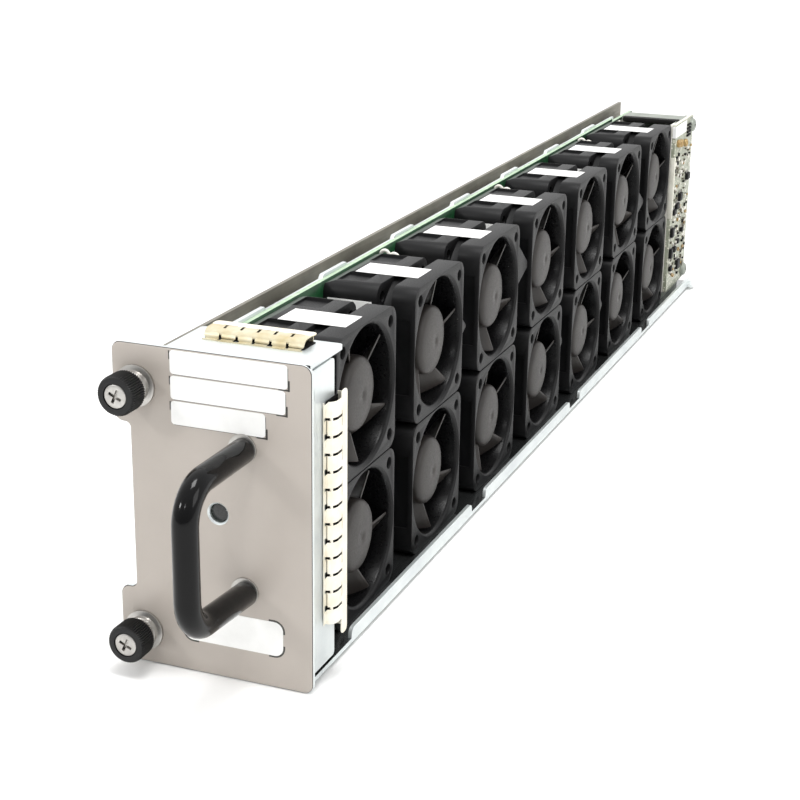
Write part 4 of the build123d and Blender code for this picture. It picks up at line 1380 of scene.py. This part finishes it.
@dataclass
class RearEnd(SubAssembly):
    """Control board at the rear end, with its label, its parts and its two screws."""

    face_x: float = 15.6
    thick: float = 1.6
    span: Span = (184.5, 219.5)
    height: Span = (5.0, 80.8)
    screw_y: float = 215.3
    screw_z: Span = (9.2, 76.6)
    chips: tuple[tuple[float, float, float, float], ...] = (
        (188.2, 41.4, 4.4, 2.4), (193.6, 43.2, 5.0, 2.6), (198.8, 46.6, 4.2, 3.6), (186.8, 32.4, 3.4, 4.2),
        (186.6, 22.8, 2.8, 4.4), (193.0, 23.4, 3.0, 2.6), (199.0, 26.0, 2.8, 2.0), (187.6, 15.6, 2.8, 2.2),
        (202.0, 14.6, 5.0, 4.2), (211.8, 53.8, 4.6, 3.0), (206.0, 30.0, 2.6, 2.0))
    coils: tuple[Span, ...] = ((189.0, 72.2), (194.0, 71.6), (203.0, 70.4))
    tail_parts: tuple[Point, ...] = (
        (190.5, 77.2, 1.6), (193.6, 75.0, 1.2), (197.0, 77.6, 2.2), (200.8, 74.2, 1.4),
        (204.0, 77.0, 1.4), (209.5, 76.0, 2.4), (214.0, 77.4, 1.4), (195.2, 71.0, 1.6))
    leg_pitch: float = 1.3
    leg_half: float = 0.28
    leg_past: float = 0.9

    def board(self) -> Thing:
        """Board with softened corners and its two screw holes.

        Returns:
            The board.
        """
        board = box("rear_board_laminate", (self.face_x - self.thick, self.face_x), self.span, self.height)
        round_corners(board, along("x"), 1.0, 4)
        combine(board, [rod("hole", Axis.X, 3.2, 4, (self.face_x - 0.8, self.screw_y, z), 32)
                        for z in self.screw_z])
        return ease(board, 0.08, 1)

    def packages(self) -> tuple[Thing, Thing]:
        """Flat packages with a row of legs on two sides.

        Returns:
            The bodies and the legs.
        """
        bodies, legs = [], []
        x = self.face_x
        for y, z, wide, high in self.chips:
            low, top = z - high / 2, z + high / 2
            bodies.append(box("body", (x + 0.1, x + 1.5), (y - wide / 2, y + wide / 2), (low, top)))
            count = int(wide / self.leg_pitch)
            for i in range(count):
                at = y - wide / 2 + (i + 0.5) * wide / count
                legs.append(box("leg", (x, x + 0.5), (at - self.leg_half, at + self.leg_half),
                                (low - self.leg_past, top + self.leg_past)))
        packages = ease(joined("rear_packages", bodies), 0.18, 1)
        return packages, ease(joined("rear_package_legs", legs), 0.06, 1)

    def scatter(self, name: str, seed: int, count: int) -> Thing:
        """Small chip parts set over the free board.

        Args:
            name: The joined pieces' name.
            seed: Seed of the fixed spread.
            count: How many parts.

        Returns:
            The parts.
        """
        spread = random.Random(seed)
        x, parts = self.face_x, []
        while len(parts) < count:
            y, z = spread.uniform(185.6, 216.0), spread.uniform(9.0, 67.0)
            if any(abs(y - cy) < w / 2 + 1 and abs(z - cz) < h / 2 + 1.6 for cy, cz, w, h in self.chips):
                continue
            wide, high = spread.choice(((1.6, 0.9), (0.9, 1.6), (1.2, 0.7), (2.2, 1.1)))
            parts.append(box("part", (x, x + spread.uniform(0.4, 0.9)), (y, y + wide), (z, z + high)))
        return ease(joined(name, parts), 0.06, 1)

    def screws(self) -> Thing:
        """Pan-head screws over washers, each with a cross recess.

        Returns:
            The screws, joined.
        """
        profile = [(-3.8, 1.4), (0.0, 1.4), (0.0, 3.5), (0.5, 3.5), (0.5, 2.9), (1.3, 2.8), (1.8, 2.3),
                   (2.1, 1.3), (2.1, 0)]
        x, y, screws = self.face_x, self.screw_y, []
        for z in self.screw_z:
            screw = turned("screw", Axis.X, (x, y, z), profile, 40)
            arms = [box("arm", (x + 1.1, x + 3), (y - wide, y + wide), (z - high, z + high))
                    for wide, high in ((1.6, 0.3), (0.3, 1.6))]
            combine(screw, arms)
            screws.append(screw)
        return ease(joined("rear_board_pan_screws", screws), 0.1, 2)

    def populate(self) -> None:
        """Set the packages, the small parts, the coils and the side header."""
        palette = self.palette
        x = self.face_x
        bodies, legs = self.packages()
        fit(bodies, palette.package, "component_black", "rear_board_parts")
        fit(legs, palette.nickel, "bright_steel")
        for name, seed, count, material in (
                ("rear_dark_parts", 5, 34, palette.package), ("rear_grey_parts", 14, 56, palette.ceramic),
                ("rear_pale_parts", 8, 60, palette.nylon), ("rear_tan_parts", 11, 20, palette.amber)):
            fit(self.scatter(name, seed, count), material, "component_black")
        profile = [(0.0, 1.5), (0.4, 1.75), (1.0, 1.8), (1.5, 1.6), (1.7, 0.9), (1.2, 0.7), (1.2, 0)]
        coils = [turned("coil", Axis.X, (x, y, z), profile, 28) for y, z in self.coils]
        fit(ease(joined("rear_coils", coils), 0.08, 1), palette.amber, "component_black")
        header = box("rear_side_header", (x - 1.5, x + 0.5), (184.2, 186.0), (39.0, 66.4))
        slots = [box("slot", (x + 0.2, x + 2), (184.9, 185.5), (40.0 + i * 2.2, 41.1 + i * 2.2))
                 for i in range(12)]
        combine(header, slots)
        fit(ease(header, 0.15, 2), palette.bleached, "header_plastic")

    def fill_top(self) -> None:
        """Set the label and the row of parts at the board's top, and a near-black strip on the bracket,
        painted shadow of the gap below its front edge.
        """
        x = self.face_x
        label = box("rear_blank_label", (x - 1.4, x + 0.14), (184.32, 206.0), (75.0, 80.2))
        fit(ease(label, 0.05, 1), self.palette.label, "label_paper")
        parts = [box("part", (x, x + 0.8), (y, y + 1.6), (z, z + 0.9))
                 for y in (206.8, 209.2, 211.4) for z in (72.4, 74.0, 75.6, 77.2)]
        fit(ease(joined("rear_top_parts", parts), 0.08, 1), self.palette.package, "component_black")
        # Near-black strip along the bracket's front edge: painted shadow of the gap below it.
        gap_shadow = box("bracket_gap_shadow", (-12.4, 12.6), (199.7, 204.0), (78.7, 80.45))
        fit(ease(gap_shadow, 0.12, 2), self.palette.painted_shade, "gasket_metal")

    def build(self) -> None:
        """Make the board's pieces and seat them."""
        board = dress(self.board(), self.palette.rear_mask)
        dress_faces(board, self.palette.bleached, lambda at, way: abs(way.x) < 0.5 and way.y > -0.5)
        seat(board, "tray", "rear_board_green", "rear_board")
        self.populate()
        self.fill_top()
        fit(self.screws(), self.palette.aged_zinc, "bright_steel", "rear_board_screws")
        pads = [box("part", (-14.02, -13.2), (y, y + wide), (z, z + 1.3)) for y, z, wide in self.tail_parts]
        fit(ease(joined("tail_small_parts", pads), 0.1, 1), self.palette.nylon, "component_black")


def dress_leftovers(palette: Palette, nodes: dict[str, Thing]) -> None:
    """Dress the solid nodes whose shape is right and that only need a finish.

    Args:
        palette: The finishes.
        nodes: The solid nodes by name.
    """
    wear = {
        "panel_spacers": palette.nylon, "board_connectors": palette.nylon, "fan_leads": palette.nylon,
        "handle_screws": palette.nickel, "rear_bracket": palette.aged_zinc,
        "rear_connector": palette.nylon, "rear_standoffs": palette.nylon,
        "captive_washer_lower": palette.nickel, "captive_washer_upper": palette.nickel,
    }
    for name, material in wear.items():
        for slot in nodes[name].material_slots:
            slot.material = material
        LOG.info("%s: dressed", name)


@dataclass
class Studio(SubAssembly):
    """Pale floor, soft lights and the camera."""

    azimuth: float = 21.41
    elevation: float = 18.58
    roll: float = 0.78
    lens: float = 76.1
    eye: Point = (175.3, -550.7, 201.6)
    floor_z: float = -1.3
    floor_size: float = 12.0
    dim_way: Point = (0.25, -0.75, -0.61)
    bright: float = 1.45
    dim: float = 0.35

    def camera(self) -> None:
        """Set the camera at the photograph's place and angle."""
        turn, rise, roll = (math.radians(v) for v in (self.azimuth, self.elevation, self.roll))
        back = Vector((math.sin(turn) * math.cos(rise), -math.cos(turn) * math.cos(rise), math.sin(rise)))
        right = Vector((math.cos(turn), math.sin(turn), 0.0))
        up = back.cross(right)
        side = math.cos(roll) * right + math.sin(roll) * up
        head = -math.sin(roll) * right + math.cos(roll) * up
        bpy.ops.object.camera_add(location=Vector(self.eye) * MM)
        camera = bpy.context.view_layer.objects.active
        camera.name = "camera"
        looking = Matrix((side, head, back)).transposed().to_4x4()
        camera.matrix_world = Matrix.Translation(Vector(self.eye) * MM) @ looking
        camera.data.lens = self.lens
        camera.data.sensor_width = 36.0
        camera.data.clip_start = 0.01
        bpy.context.scene.camera = camera

    def light(self, name: str, place: Point, power: float, size: float) -> None:
        """Add one square soft light aimed at the tray.

        Args:
            name: The light's name.
            place: Its place, in metres.
            power: Its power in watts.
            size: Its side, in metres.
        """
        bpy.ops.object.light_add(type="AREA", location=place)
        light = bpy.context.view_layer.objects.active
        light.name = name
        light.data.energy = power
        light.data.size = size
        aim = Vector((0.0, -0.05, 0.04)) - Vector(place)
        light.rotation_euler = aim.to_track_quat("-Z", "Y").to_euler()

    def sky(self) -> None:
        """Surround the set with white that fades from bright to dim."""
        world = bpy.data.worlds.new("studio")
        world.use_nodes = True
        tree = world.node_tree
        background = tree.nodes["Background"]
        background.inputs["Color"].default_value = linear("#fbfbfb")
        way = add_node(tree, "ShaderNodeTexCoord").outputs["Generated"]
        side = add_node(tree, "ShaderNodeVectorMath", {"operation": "DOT_PRODUCT"}, {0: way})
        side.inputs[1].default_value = self.dim_way
        fade = add_node(tree, "ShaderNodeMapRange", {
            "From Min": -1.0, "From Max": 1.0, "To Min": self.bright, "To Max": self.dim},
            {"Value": side.outputs["Value"]})
        tree.links.new(fade.outputs["Result"], background.inputs["Strength"])
        bpy.context.scene.world = world

    def build(self) -> None:
        """Make the floor, the lights and the camera."""
        bpy.ops.mesh.primitive_plane_add(size=self.floor_size, location=(0, 0, self.floor_z * MM))
        floor = dress(named("studio_floor"), self.palette.floor)
        self.sky()
        self.light("overhead", (0.15, -0.25, 1.3), 9.0, 0.45)
        self.light("front_left", (-0.9, -1.2, 0.8), 4.2, 0.2)
        self.light("front_right", (0.15, -1.5, 1.0), 1.6, 0.12)
        self.light("right_side", (1.2, -0.3, 0.7), 3.0, 0.6)
        bpy.context.scene.view_settings.view_transform = "Standard"
        self.camera()


def place_strip(root: Point, across: Point, outward: Point) -> Matrix:
    """Frame of a finger strip on its flange.

    Args:
        root: The middle of the noses' line on the flange, in millimetres.
        across: Direction from its front edge to its rail.
        outward: Direction off the flange.

    Returns:
        The placing matrix.
    """
    x_way, y_way = Vector(across), Vector(outward)
    turn = Matrix((x_way, y_way, x_way.cross(y_way))).transposed().to_4x4()
    return Matrix.Translation(Vector(root) * MM) @ turn


def main() -> None:
    """Load the solid frame, build every sub-assembly on it and finish."""
    logging.basicConfig(level=logging.INFO, format="%(name)s: %(message)s")
    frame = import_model()
    bpy.ops.object.select_all(action="DESELECT")
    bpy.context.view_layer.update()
    palette = Palette()
    Studio(palette).build()
    FrontPlate(palette).build()
    Handle(palette).build()
    for row, z in CAPTIVE_Z.items():
        CaptiveScrew(palette, row, z).build()
    top_strip = FingerStrip(palette, "top_finger_strip", "top_gasket", 6, slant=-0.36)
    top_strip.build(place_strip((-0.3, -200.6, 84.0), (0, 1, 0), (0, 0, 1)))
    side_strip = FingerStrip(palette, "side_finger_strip", "side_gasket", 13, slant=-0.06,
                             rail_past=(1.8, 4.4), bright_from=0.4, slit_run=3.9, pale=True)
    side_strip.build(place_strip((20.0, -203.8, 44.05), (0, 1, 0), (1, 0, 0)))
    for assembly in (Tray, Boards, FanBank, RearEnd):
        assembly(palette).build()
    dress_leftovers(palette, frame["nodes"])


if __name__ == "__main__":
    main()
